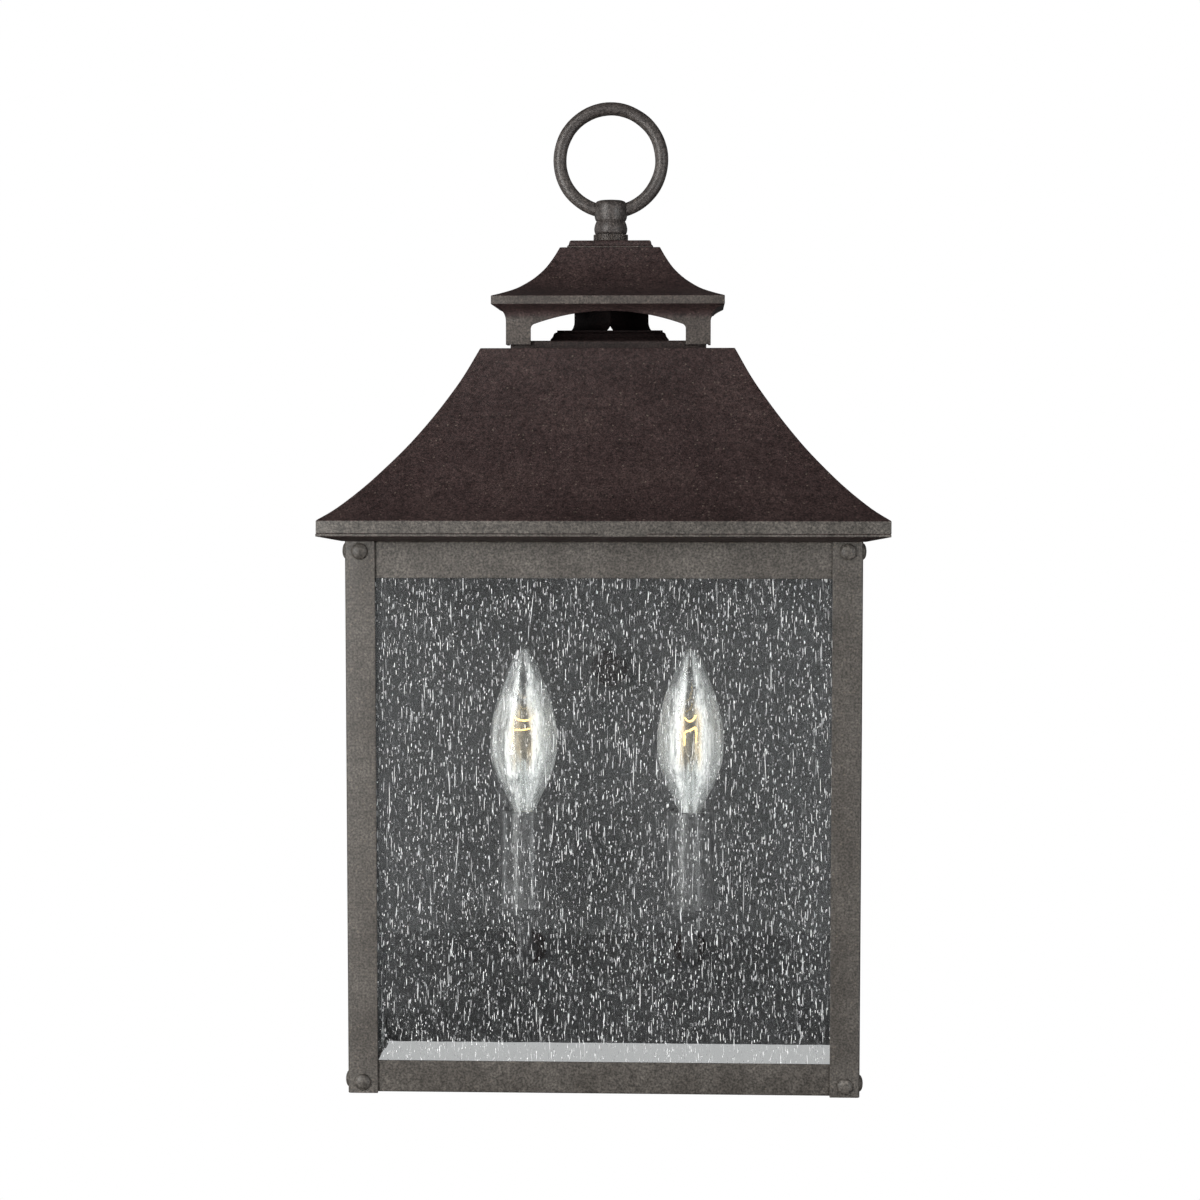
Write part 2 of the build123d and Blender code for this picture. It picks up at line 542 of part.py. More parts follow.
small = hipped([(SMALL_A, SMALL_Z0), (SMALL_A, SMALL_Z1)], SMALL_FLARE, SMALL_TOP_Z)
sin_ = lift(SMALL_FLARE, -SMALL_T)
a_in = SMALL_A - SMALL_T
k = (sin_[1][1] - sin_[0][1]) / (sin_[1][0] - sin_[0][0])
sin_[0] = (a_in, sin_[1][1] + k * (a_in - sin_[1][0]))
k = (sin_[-1][1] - sin_[-2][1]) / (sin_[-1][0] - sin_[-2][0])
z_in = SMALL_TOP_Z - SMALL_T
sin_[-1] = (sin_[-2][0] + (z_in - sin_[-2][1]) / k, z_in)
small -= hipped([(a_in, SMALL_Z0 - 3), sin_[0]], sin_, z_in, y_back=5)
small -= rod_z(0, FIN_Y, SMALL_TOP_Z - 5, SMALL_TOP_Z + 5, ROD_R + EASE)
put("small_roof", one(small))

tp = straight_hip([(21.5, SMALL_TOP_Z), (21.5, 403.8), (20.8, 404.4), (20.3, TOP_PLATE_Z1 - 0.5), (19.8, TOP_PLATE_Z1)])
tp -= rod_z(0, FIN_Y, SMALL_TOP_Z - 5, TOP_PLATE_Z1 + 5, ROD_R + EASE)
put("top_plate", one(tp))

nut = Pos(0, FIN_Y, 0) * extrude(Pos(0, 0, z_in - 4.0) * RegularPolygon(5.0, 6, major_radius=False), amount=4.0)
nut -= rod_z(0, FIN_Y, 385, 405, ROD_R + EASE)
put("rod_nut", one(nut))

# knurled lock nut under the finial
KN_Z0, KN_Z1, KN_R = 406.9, 410.1, 8.7
kp = []
for i in range(NUMBER_OF_KNURLS):
    for r, o in ((KN_R - 0.35, 0.0), (KN_R - 0.35, 0.3), (KN_R, 0.5), (KN_R, 0.8)):
        a = 2 * pi * (i + o) / NUMBER_OF_KNURLS
        kp.append((r * cos(a), r * sin(a)))
kn = Pos(0, FIN_Y, KN_Z0) * extrude(make_face(Polyline(*kp, close=True)), amount=KN_Z1 - KN_Z0)
kn -= rod_z(0, FIN_Y, KN_Z0 - 1, KN_Z1 + 1, ROD_R + RUN)
put("knurled_nut", one(kn))

# finial: turned collar with the ring through it
collar = revolve_z(0, FIN_Y, [(0, 410.4), (7.65, 410.4), (8.1, 411.2), (8.35, 412.4), (8.3, 413.6), (7.85, 415.3),
                              (7.5, 416.2), (7.25, 416.7), (7.25, 417.0), (7.6, 417.2), (8.05, 418.6), (8.3, 420.4),
                              (8.35, 422.4), (8.25, 424.5), (7.85, 425.9), (7.05, 426.8), (5.9, 427.2), (0, 427.2)])
ring = Pos(0, FIN_Y, RING_Z) * Rot(90, 0, 0) * Torus(RING_R, RING_TUBE)
collar -= Pos(0, FIN_Y, RING_Z) * Rot(90, 0, 0) * Torus(RING_R, RING_TUBE + EASE)
put("finial_ring", one(ring))
# the rod ends below the ring
rod = rod_z(0, FIN_Y, 395.2, 416.9, ROD_R)
collar -= rod_z(0, FIN_Y, 409, 417.2, ROD_R + RUN)
put("finial_rod", rod)
put("finial_collar", one(collar))


# ---------------------------------------------------------------- lamp holders and lamps
def arm(bore):
    """Arm from behind the back plate forwards and up under the socket."""
    y0 = PAN_Y + PAN_T + 4.8
    path = FilletPolyline((0, y0, ARM_Z), (0, LAMP_Y, ARM_Z), (0, LAMP_Y, 84.0), radius=ARM_BEND)
    sec = Plane(origin=(0, y0, ARM_Z), z_dir=(0, -1, 0)) * Circle(bore)
    return sweep(sec, path=path)


arm_l = Pos(-LAMP_X, 0, 0) * (arm(ARM_R) - arm(ARM_BORE))
put("arm_left", one(arm_l))
put("arm_right", flip(one(arm_l)))

nuts, collars, saddles, contacts = [], [], [], []
for s in (-1, 1):
    nuts.append(hex_nut_y(s * LAMP_X, ARM_Z, PAN_Y + PAN_T, PAN_Y + PAN_T + 3.6, 12.0, ARM_R + EASE))
    c = revolve_z(0, 0, [(ARM_R + EASE, 0), (8.4, 0), (8.4, 1.2), (7.6, 2.4), (6.0, 3.2), (5.4, 4.2), (ARM_R + EASE, 4.2)])
    collars.append(Pos(s * LAMP_X, PAN_Y, ARM_Z) * Rot(90, 0, 0) * c)
    sad = rod_z(s * LAMP_X, LAMP_Y, 79.9, 86.0, 6.5) + rod_z(s * LAMP_X, LAMP_Y, 84.0, 86.0, 8.6)
    sad -= rod_z(s * LAMP_X, LAMP_Y, 70, 84.0, ARM_R + EASE)
    sad -= rod_z(s * LAMP_X, LAMP_Y, 80, 90, ARM_BORE)
    saddles.append(sad)
put("arm_nuts", group(nuts))
put("arm_collars", group(collars))
put("socket_saddles", group(saddles))

cup = revolve_z(-LAMP_X, LAMP_Y, [(ARM_R + EASE, 75.0), (7.0, 75.0), (11.6, 75.6), (12.2, 76.6), (12.2, 79.2),
                                  (SLEEVE_R + EASE, 79.2), (SLEEVE_R + EASE, SLEEVE_Z0), (ARM_R + EASE, SLEEVE_Z0)])
put("candle_cup_left", one(cup))
put("candle_cup_right", flip(one(cup)))

sleeve = revolve_z(-LAMP_X, LAMP_Y, [(SLEEVE_R - SLEEVE_T, SLEEVE_Z0), (SLEEVE_R, SLEEVE_Z0), (SLEEVE_R, SLEEVE_Z1 - 0.4),
                                     (SLEEVE_R - 0.4, SLEEVE_Z1), (SLEEVE_R - SLEEVE_T, SLEEVE_Z1)])
put("candle_sleeve_left", one(sleeve))
put("candle_sleeve_right", flip(one(sleeve)))

# socket: insulating cup, screw shell inside it, spring contact in its floor
SHELL_IN = LAMP_BASE_R + RUN
SHELL_OUT = SHELL_IN + 0.6
SH_Z0, SH_Z1 = 105.0, 123.6
sock = revolve_z(-LAMP_X, LAMP_Y, [(1.2, 86.0), (8.6, 86.0), (8.6, 124.4), (7.9, 125.0), (SHELL_IN + 0.25, 125.0),
                                   (SHELL_IN + 0.25, SH_Z1), (SHELL_OUT + EASE, SH_Z1), (SHELL_OUT + EASE, SH_Z0), (4.0, SH_Z0),
                                   (4.0, 101.0), (1.2, 101.0)])
put("socket_left", one(sock))
put("socket_right", flip(one(sock)))
shell = revolve_z(-LAMP_X, LAMP_Y, [(SHELL_IN, SH_Z0), (SHELL_OUT, SH_Z0), (SHELL_OUT, SH_Z1), (SHELL_IN, SH_Z1)])
put("socket_shell_left", one(shell))
put("socket_shell_right", flip(one(shell)))
for s in (-1, 1):
    pin = rod_z(s * LAMP_X, LAMP_Y, 99.0, 102.0, 1.2) + block(s * LAMP_X - 2.6, s * LAMP_X + 2.6, LAMP_Y - 1.4, LAMP_Y + 1.4, 101.0, 101.8)
    leafc = Pos(s * LAMP_X, LAMP_Y, 102.2) * Rot(0, -14, 0) * Box(5.0, 2.4, 0.5)
    contacts.append(pin + leafc)
put("socket_contacts", group(contacts))

# lamp: screw base with its centre contact
BZ0 = 104.2
pts = [(0, BZ0), (2.6, BZ0), (3.0, BZ0 + 0.6), (3.4, 105.6), (5.2, 107.0), (5.2, 107.4)]
PITCH = 2.54
n = 5
for i in range(n):
    zb = 107.6 + i * PITCH
    pts += [(LAMP_BASE_R - 0.75, zb), (LAMP_BASE_R - 0.35, zb + 0.35), (LAMP_BASE_R, zb + 0.9), (LAMP_BASE_R, zb + 1.5),
            (LAMP_BASE_R - 0.35, zb + 2.1)]
pts += [(LAMP_BASE_R - 0.75, 120.5), (LAMP_BASE_R - 0.1, 121.2), (LAMP_BASE_R - 0.1, LAMP_NECK_Z), (0, LAMP_NECK_Z)]
base = revolve_z(-LAMP_X, LAMP_Y, pts)
put("lamp_base_left", one(base))
put("lamp_base_right", flip(one(base)))

# lamp glass: torpedo envelope, 0.8 mm wall, open into the base
G = [(5.6, LAMP_NECK_Z), (6.2, 128.0), (8.8, 134.0), (12.5, 141.5), (15.4, 150.0), (LAMP_R, 158.0), (15.9, 167.0),
     (13.9, 177.0), (10.8, 187.0), (6.9, 197.0), (4.4, 202.6)]
GI = lift(G, -0.8)
GI[0] = (4.8, LAMP_NECK_Z)
out_curve = Spline(*[(r, 0, z) for r, z in G], (0, 0, LAMP_TIP_Z), tangents=[(0.05, 0, 1), (-1, 0, 0)])
in_curve = Spline(*[(r, 0, z) for r, z in GI], (0, 0, LAMP_TIP_Z - 1.0), tangents=[(0.05, 0, 1), (-1, 0, 0)])
gface = make_face(out_curve.edges() + in_curve.edges()
                  + [Line((5.6, 0, LAMP_NECK_Z), (4.8, 0, LAMP_NECK_Z)).edge(),
                     Line((0, 0, LAMP_TIP_Z - 1.0), (0, 0, LAMP_TIP_Z)).edge()])
env = Pos(-LAMP_X, LAMP_Y, 0) * revolve(gface, axis=Axis.Z, revolution_arc=360)
put("lamp_glass_left", one(env))
put("lamp_glass_right", flip(one(env)))

# glass stem with its two support wires, and the filament between them
stem = revolve_z(-LAMP_X, LAMP_Y, [(0, LAMP_NECK_Z), (4.4, LAMP_NECK_Z), (3.4, 128.0), (2.4, 133.0), (2.1, 146.0), (1.5, 150.5), (0, 151.5)])
for dx in (-1, 1):
    low, high = (-LAMP_X + dx * 1.0, LAMP_Y, 149.0), (-LAMP_X + dx * 4.6, LAMP_Y, 165.75)
    v = Vector(*high) - Vector(*low)
    stem += Plane(origin=low, z_dir=v) * Pos(0, 0, v.length / 2) * Cylinder(0.3, v.length)
put("lamp_stem_left", one(stem))
put("lamp_stem_right", flip(one(stem)))

fp = [(-4.6, 166.3), (-2.6, 172.6), (-0.2, 165.0), (2.2, 172.6), (4.6, 166.3)]
fil = None
for (a, za), (b, zb) in zip(fp, fp[1:]):
    lo, hi = (-LAMP_X + a, LAMP_Y, za), (-LAMP_X + b, LAMP_Y, zb)
    v = Vector(*hi) - Vector(*lo)
    seg = Plane(origin=lo, z_dir=v) * Pos(0, 0, v.length / 2) * Cylinder(0.45, v.length)
    fil = seg if fil is None else fil + seg
for a, za in fp:
    fil += Pos(-LAMP_X + a, LAMP_Y, za) * Sphere(0.45)
put("lamp_filament_left", one(fil))
put("lamp_filament_right", flip(one(fil)))
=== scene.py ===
import math
import random

import bpy
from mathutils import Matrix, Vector, noise


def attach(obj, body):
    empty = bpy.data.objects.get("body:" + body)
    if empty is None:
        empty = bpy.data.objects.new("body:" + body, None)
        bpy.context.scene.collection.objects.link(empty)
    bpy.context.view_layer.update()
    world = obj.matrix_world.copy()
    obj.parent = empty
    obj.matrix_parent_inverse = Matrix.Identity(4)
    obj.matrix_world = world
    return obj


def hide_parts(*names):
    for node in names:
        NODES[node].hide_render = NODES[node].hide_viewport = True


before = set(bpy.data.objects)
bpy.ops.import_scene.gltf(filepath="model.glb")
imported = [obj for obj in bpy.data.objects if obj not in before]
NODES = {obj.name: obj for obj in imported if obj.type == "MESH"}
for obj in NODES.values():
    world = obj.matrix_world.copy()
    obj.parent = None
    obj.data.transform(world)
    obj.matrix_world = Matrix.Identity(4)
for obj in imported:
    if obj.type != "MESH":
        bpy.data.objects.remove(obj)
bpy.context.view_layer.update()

pi, cos, sin, radians = math.pi, math.cos, math.sin, math.radians

# Heights below are millimetres above the foot of the frame, widths and depths are
# millimetres in the row frame; MM() turns a point into metres in the row frame.
FOOT = 193.0
LAMP_AXIS = (0.0406, -0.065)


def MM(x, y, z):
    return (x / 1000.0, y / 1000.0, (z - FOOT) / 1000.0)


# ------------------------------------------------------------------ node helpers
class Tree:
    """Small helper to write a node tree."""

    def __init__(self, mat):
        mat.use_nodes = True
        self.nt = mat.node_tree
        self.nt.nodes.clear()
        self.coord = None

    def n(self, kind, **kw):
        node = self.nt.nodes.new(kind)
        for k, v in kw.items():
            setattr(node, k, v)
        return node

    def link(self, a, b):
        self.nt.links.new(a, b)

    def obj(self):
        if self.coord is None:
            self.coord = self.n("ShaderNodeTexCoord")
        return self.coord.outputs["Object"]

    def mapped(self, scale=(1, 1, 1), rot=(0, 0, 0)):
        m = self.n("ShaderNodeMapping")
        m.inputs["Scale"].default_value = scale
        m.inputs["Rotation"].default_value = rot
        self.link(self.obj(), m.inputs["Vector"])
        return m.outputs["Vector"]

    def noise(self, scale, detail=3.0, rough=0.55, vec=None, dist=0.0):
        t = self.n("ShaderNodeTexNoise")
        t.inputs["Scale"].default_value = scale
        t.inputs["Detail"].default_value = detail
        t.inputs["Roughness"].default_value = rough
        t.inputs["Distortion"].default_value = dist
        self.link(vec if vec is not None else self.obj(), t.inputs["Vector"])
        return t.outputs["Fac"]

    def voronoi(self, scale, feature="F1", vec=None, rand=1.0):
        t = self.n("ShaderNodeTexVoronoi", feature=feature)
        t.inputs["Scale"].default_value = scale
        t.inputs["Randomness"].default_value = rand
        self.link(vec if vec is not None else self.obj(), t.inputs["Vector"])
        return t

    def ramp(self, fac, stops, interp="LINEAR"):
        r = self.n("ShaderNodeValToRGB")
        r.color_ramp.interpolation = interp
        els = r.color_ramp.elements
        while len(els) > len(stops):
            els.remove(els[-1])
        while len(els) < len(stops):
            els.new(0.5)
        for e, (p, c) in zip(els, stops):
            e.position = p
            e.color = (c, c, c, 1) if isinstance(c, (int, float)) else (*c, 1)
        self.link(fac, r.inputs["Fac"])
        return r.outputs["Color"]

    def mixc(self, fac, a, b, mode="MIX"):
        m = self.n("ShaderNodeMix", data_type="RGBA", blend_type=mode)
        if isinstance(fac, (int, float)):
            m.inputs[0].default_value = fac
        else:
            self.link(fac, m.inputs[0])
        for i, v in ((6, a), (7, b)):
            if isinstance(v, tuple):
                m.inputs[i].default_value = (*v, 1) if len(v) == 3 else v
            else:
                self.link(v, m.inputs[i])
        return m.outputs[2]

    def math(self, op, a, b=None, clamp=False):
        m = self.n("ShaderNodeMath", operation=op, use_clamp=clamp)
        for i, v in ((0, a), (1, b)):
            if v is None:
                continue
            if isinstance(v, (int, float)):
                m.inputs[i].default_value = v
            else:
                self.link(v, m.inputs[i])
        return m.outputs[0]

    def bump(self, height, strength, distance, normal=None):
        b = self.n("ShaderNodeBump")
        b.inputs["Strength"].default_value = strength
        b.inputs["Distance"].default_value = distance
        self.link(height, b.inputs["Height"])
        if normal is not None:
            self.link(normal, b.inputs["Normal"])
        return b.outputs["Normal"]

    def out(self, surface):
        o = self.n("ShaderNodeOutputMaterial")
        self.link(surface, o.inputs["Surface"])

    def principled(self, **kw):
        p = self.n("ShaderNodeBsdfPrincipled")
        for k, v in kw.items():
            sock = p.inputs[k.replace("_", " ")]
            if isinstance(v, (int, float)) or isinstance(v, tuple):
                sock.default_value = v
            else:
                self.link(v, sock)
        return p


def paint(name, deep, mid, pale, fleck, slope_shade=None, rough=(0.44, 0.62), grain=1000.0, bump=0.3, fleck_amount=0.6, spec=0.5):
    """Textured satin paint: cloudy tone, gritty grain, small tan flecks and a few dark pits.
    The slope tones are darker browns for faces that aren't upright: painted shade for the weaker light the sloping
    faces get."""
    mat = bpy.data.materials.new(name)
    t = Tree(mat)
    cloud = t.noise(34.0, 5.0, 0.62)
    fine = t.noise(grain, 2.0, 0.6)
    medium = t.noise(grain * 0.36, 3.0, 0.6)
    c1 = t.ramp(cloud, [(0.34, deep), (0.5, mid), (0.68, pale)])
    # painted shade: faces that aren't upright take the darker slope tones
    if slope_shade is not None:
        slope_shade_tone = t.ramp(cloud, [(0.34, slope_shade[0]), (0.5, slope_shade[1]), (0.68, slope_shade[2])])
        t.obj()
        sep = t.n("ShaderNodeSeparateXYZ")
        t.link(t.coord.outputs["Normal"], sep.inputs[0])
        tilt = t.math("ABSOLUTE", sep.outputs["Z"])
        c1 = t.mixc(t.ramp(tilt, [(0.12, 0.0), (0.34, 1.0)]), c1, slope_shade_tone)
    g = t.ramp(fine, [(0.34, 0.42), (0.5, 0.98), (0.66, 1.62)])
    c2 = t.mixc(1.0, c1, g, "MULTIPLY")
    m = t.ramp(medium, [(0.34, 0.72), (0.66, 1.28)])
    c3 = t.mixc(0.8, c2, m, "MULTIPLY")
    fl = t.voronoi(grain * 0.55)
    spot = t.ramp(fl.outputs["Distance"], [(0.0, 1.0), (0.18, 1.0), (0.3, 0.0)])
    pick = t.ramp(fl.outputs["Color"], [(0.0, 0.0), (0.66, 0.0), (0.85, 1.0)])
    spots = t.math("MULTIPLY", spot, pick)
    c4 = t.mixc(t.math("MULTIPLY", spots, fleck_amount), c3, fleck)
    r = t.ramp(medium, [(0.3, rough[0]), (0.7, rough[1])])
    h = t.math("ADD", t.math("MULTIPLY", fine, 0.7), t.math("MULTIPLY", medium, 0.9))
    nrm = t.bump(h, bump, 0.0003)
    p = t.principled(Base_Color=c4, Roughness=r, Normal=nrm, Metallic=0.0)
    p.inputs["Specular IOR Level"].default_value = spec
    t.out(p.outputs[0])
    return mat


def metal(name, colour, dark, rough=(0.28, 0.45), scale=900.0, stretch=(1, 1, 1), bump=0.12):
    mat = bpy.data.materials.new(name)
    t = Tree(mat)
    v = t.mapped(stretch)
    a = t.noise(scale, 4.0, 0.6, v)
    b = t.noise(60.0, 4.0, 0.6)
    c = t.mixc(t.ramp(b, [(0.35, 0.0), (0.7, 1.0)]), dark, colour)
    c = t.mixc(0.35, c, t.ramp(a, [(0.3, 0.75), (0.7, 1.15)]), "MULTIPLY")
    r = t.ramp(a, [(0.3, rough[0]), (0.7, rough[1])])
    p = t.principled(Base_Color=c, Roughness=r, Normal=t.bump(a, bump, 0.00008), Metallic=1.0)
    t.out(p.outputs[0])
    return mat


def plastic(name, colour, rough=(0.3, 0.5), spec=0.5):
    mat = bpy.data.materials.new(name)
    t = Tree(mat)
    a = t.noise(1300.0, 3.0, 0.6)
    b = t.noise(70.0, 3.0, 0.6)
    c = t.mixc(0.5, (*colour, 1)[:3], t.ramp(b, [(0.3, 0.75), (0.7, 1.2)]), "MULTIPLY")
    p = t.principled(Base_Color=c, Roughness=t.ramp(a, [(0.3, rough[0]), (0.7, rough[1])]),
                     Normal=t.bump(a, 0.12, 0.00006))
    p.inputs["Specular IOR Level"].default_value = spec
    t.out(p.outputs[0])
    return mat


def clear_for_shadows(t, surface):
    """Light passes the glass on its way to what is behind it."""
    lp = t.n("ShaderNodeLightPath")
    tr = t.n("ShaderNodeBsdfTransparent")
    tr.inputs["Color"].default_value = (0.93, 0.94, 0.94, 1)
    mx = t.n("ShaderNodeMixShader")
    t.link(lp.outputs["Is Shadow Ray"], mx.inputs[0])
    t.link(surface, mx.inputs[1])
    t.link(tr.outputs[0], mx.inputs[2])
    return mx.outputs[0]


def pane_glass(name):
    """Clear drawn glass with a very faint veil of fine upright streaks."""
    mat = bpy.data.materials.new(name)
    t = Tree(mat)
    v = t.mapped((1.0, 1.0, 0.22))
    fine = t.noise(1500.0, 2.0, 0.6, v)
    broad = t.noise(300.0, 3.0, 0.6, v)
    veil = t.math("ADD", t.ramp(fine, [(0.56, 0.0), (0.70, 0.07)]), t.ramp(broad, [(0.35, 0.0), (0.8, 0.008)]))
    glass = t.n("ShaderNodeBsdfGlass")
    glass.inputs["Roughness"].default_value = 0.0
    glass.inputs["IOR"].default_value = 1.45
    glass.inputs["Color"].default_value = (0.96, 0.97, 0.97, 1)
    t.link(t.bump(fine, 0.04, 0.00004), glass.inputs["Normal"])
    dif = t.n("ShaderNodeBsdfDiffuse")
    dif.inputs["Color"].default_value = (0.8, 0.8, 0.81, 1)
    mx = t.n("ShaderNodeMixShader")
    t.link(veil, mx.inputs[0])
    t.link(glass.outputs[0], mx.inputs[1])
    t.link(dif.outputs[0], mx.inputs[2])
    t.out(clear_for_shadows(t, mx.outputs[0]))
    return mat


def seed_painted_glint(name):
    """Seeds and streaks in the glass, drawn in white: painted glints in place of the light that clear bubbles refract.
    Each one has its own tone, the faint ones are clearer.
    """
    mat = bpy.data.materials.new(name)
    t = Tree(mat)
    g = t.n("ShaderNodeNewGeometry")
    isle = g.outputs["Random Per Island"]
    tone = t.ramp(isle, [(0.0, (0.36, 0.36, 0.365)), (0.4, (0.6, 0.6, 0.61)), (0.75, (0.85, 0.85, 0.86)), (1.0, (0.97, 0.97, 0.98))])
    soft = t.noise(900.0, 2.0, 0.5)
    tone = t.mixc(0.35, tone, t.ramp(soft, [(0.3, 0.7), (0.7, 1.2)]), "MULTIPLY")
    p = t.principled(Base_Color=tone, Roughness=0.35)
    tr = t.n("ShaderNodeBsdfTransparent")
    mx = t.n("ShaderNodeMixShader")
    t.link(t.ramp(isle, [(0.0, 0.16), (0.35, 0.34), (0.65, 0.75), (1.0, 1.0)]), mx.inputs[0])
    t.link(tr.outputs[0], mx.inputs[1])
    t.link(p.outputs[0], mx.inputs[2])
    t.out(mx.outputs[0])
    return mat


def lamp_glass_painted_glow(name, veil_low, veil_high):
    """Clear lamp glass with a painted glow: a milky white veil that fades in streaks, in place of the lit lamp's light
    on clear glass.
    """
    mat = bpy.data.materials.new(name)
    t = Tree(mat)
    v = t.mapped((1.0, 1.0, 0.12))
    streak = t.noise(420.0, 3.0, 0.6, v)
    return lamp_surface(mat, t, streak, t.ramp(streak, [(0.3, veil_low), (0.7, veil_high)]), (0.93, 0.93, 0.93, 1))


def lamp_surface(mat, t, streak, veil, tint):
    p = t.principled(Base_Color=(0.97, 0.985, 0.98, 1), Roughness=0.03)
    p.inputs["Transmission Weight"].default_value = 1.0
    p.inputs["IOR"].default_value = 1.45
    t.link(t.bump(streak, 0.12, 0.0002), p.inputs["Normal"])
    # the veil is painted glow and reflection: a diffuse and translucent white mixed into the clear glass
    add = t.n("ShaderNodeMixShader")
    add.inputs[0].default_value = 0.4
    for i, kind in ((1, "ShaderNodeBsdfDiffuse"), (2, "ShaderNodeBsdfTranslucent")):
        dif = t.n(kind)
        if isinstance(tint, tuple):
            dif.inputs["Color"].default_value = tint
        else:
            t.link(tint, dif.inputs["Color"])
        t.link(dif.outputs[0], add.inputs[i])
    mx = t.n("ShaderNodeMixShader")
    t.link(veil, mx.inputs[0])
    t.link(p.outputs[0], mx.inputs[1])
    t.link(add.outputs[0], mx.inputs[2])
    t.out(clear_for_shadows(t, mx.outputs[0]))
    return mat


def envelope_painted_light(name):
    """Lamp envelope: painted reflection of the softboxes as bright upright bands either side of a clearer middle,
    paler towards both ends, and a painted warm glow of the filament in the middle.
    Both lamps share it, so the distance from the lamp's axis is measured from |x|."""
    mat = bpy.data.materials.new(name)
    t = Tree(mat)
    v = t.mapped((1.0, 1.0, 0.10))
    streak = t.noise(520.0, 3.0, 0.62, v)
    wide = t.noise(170.0, 2.0, 0.5, v)
    sep = t.n("ShaderNodeSeparateXYZ")
    t.link(t.obj(), sep.inputs[0])
    ax = t.math("SUBTRACT", t.math("ABSOLUTE", sep.outputs["X"]), LAMP_AXIS[0])
    ay = t.math("SUBTRACT", sep.outputs["Y"], LAMP_AXIS[1])
    turn = t.math("ARCTAN2", t.math("ABSOLUTE", ax), t.math("ABSOLUTE", ay))
    turn = t.math("ADD", turn, t.math("MULTIPLY", t.math("SUBTRACT", wide, 0.5), 0.42))
    # painted reflection: the softboxes' upright highlight bands, set by the angle round the lamp's axis
    softbox_reflection_band = t.ramp(t.math("MULTIPLY", turn, 2.0 / pi),
                  [(0.0, 0.03), (0.09, 0.05), (0.16, 0.40), (0.28, 0.56), (0.38, 0.28), (0.50, 0.12), (0.78, 0.08), (1.0, 0.18)])
    high = t.n("ShaderNodeMapRange")
    high.inputs["From Min"].default_value = (124.0 - FOOT) / 1000.0
    high.inputs["From Max"].default_value = (206.0 - FOOT) / 1000.0
    t.link(sep.outputs["Z"], high.inputs["Value"])
    ends = t.ramp(high.outputs[0], [(0.0, 0.6), (0.16, 0.6), (0.3, 0.95), (0.55, 1.0), (0.72, 0.72), (0.88, 0.38), (1.0, 0.22)])
    grain = t.ramp(streak, [(0.38, 0.12), (0.5, 0.95), (0.62, 1.9)])
    veil = t.math("MULTIPLY", t.math("MULTIPLY", softbox_reflection_band, ends), grain, clamp=True)
    # painted glow: warm tint of the filament's light on the glass in front of it
    filament_glow_tint = t.math("MULTIPLY", t.ramp(t.math("MULTIPLY", turn, 2.0 / pi), [(0.0, 1.0), (0.12, 0.9), (0.26, 0.0)]),
                  t.ramp(high.outputs[0], [(0.28, 0.0), (0.38, 1.0), (0.6, 1.0), (0.68, 0.0)]))
    tint = t.mixc(filament_glow_tint, (0.93, 0.93, 0.93), (0.95, 0.74, 0.46))
    return lamp_surface(mat, t, streak, veil, tint)


def glow(name, colour, strength):
    mat = bpy.data.materials.new(name)
    t = Tree(mat)
    a = t.noise(1500.0, 2.0, 0.5)
    c = t.mixc(t.ramp(a, [(0.3, 0.0), (0.7, 1.0)]), tuple(colour), tuple(min(1.0, x * 1.25) for x in colour))
    p = t.principled(Base_Color=c, Roughness=0.4)
    t.link(c, p.inputs["Emission Color"])
    p.inputs["Emission Strength"].default_value = strength
    t.out(p.outputs[0])
    return mat


# painted shade: darker brown tones for the sloping faces of the roofs, where less light falls
SLOPE_SHADE_BROWN = ((0.0225, 0.0125, 0.012), (0.029, 0.0168, 0.0162), (0.0375, 0.023, 0.0215))
FRAME_PAINT = paint("frame_paint", (0.050, 0.044, 0.038), (0.066, 0.059, 0.052), (0.086, 0.078, 0.069), (0.15, 0.125, 0.10))
ROOF_PAINT = paint("roof_paint", (0.050, 0.044, 0.038), (0.064, 0.057, 0.050), (0.080, 0.072, 0.064), (0.14, 0.11, 0.09), slope_shade=SLOPE_SHADE_BROWN)
# painted shade: a darker copy of the roof paint for the small roof, gallery, top plate and knurled nut
CUPOLA_SHADE_PAINT = paint("cupola_painted_shade", (0.035, 0.028, 0.024), (0.046, 0.037, 0.032), (0.059, 0.049, 0.042), (0.13, 0.10, 0.08), slope_shade=SLOPE_SHADE_BROWN)
FINIAL_PAINT = paint("finial_paint", (0.037, 0.031, 0.029), (0.052, 0.045, 0.042), (0.072, 0.063, 0.058), (0.17, 0.145, 0.12),
                     rough=(0.36, 0.55), grain=1000.0, bump=0.5)
# painted shade: a dark copy of the bronze paint for the cap plate, recessed under the gallery
CAP_PLATE_SHADE_PAINT = paint("cap_plate_painted_shade", (0.014, 0.009, 0.008), (0.019, 0.012, 0.011), (0.026, 0.018, 0.016), (0.07, 0.05, 0.04), spec=0.3)
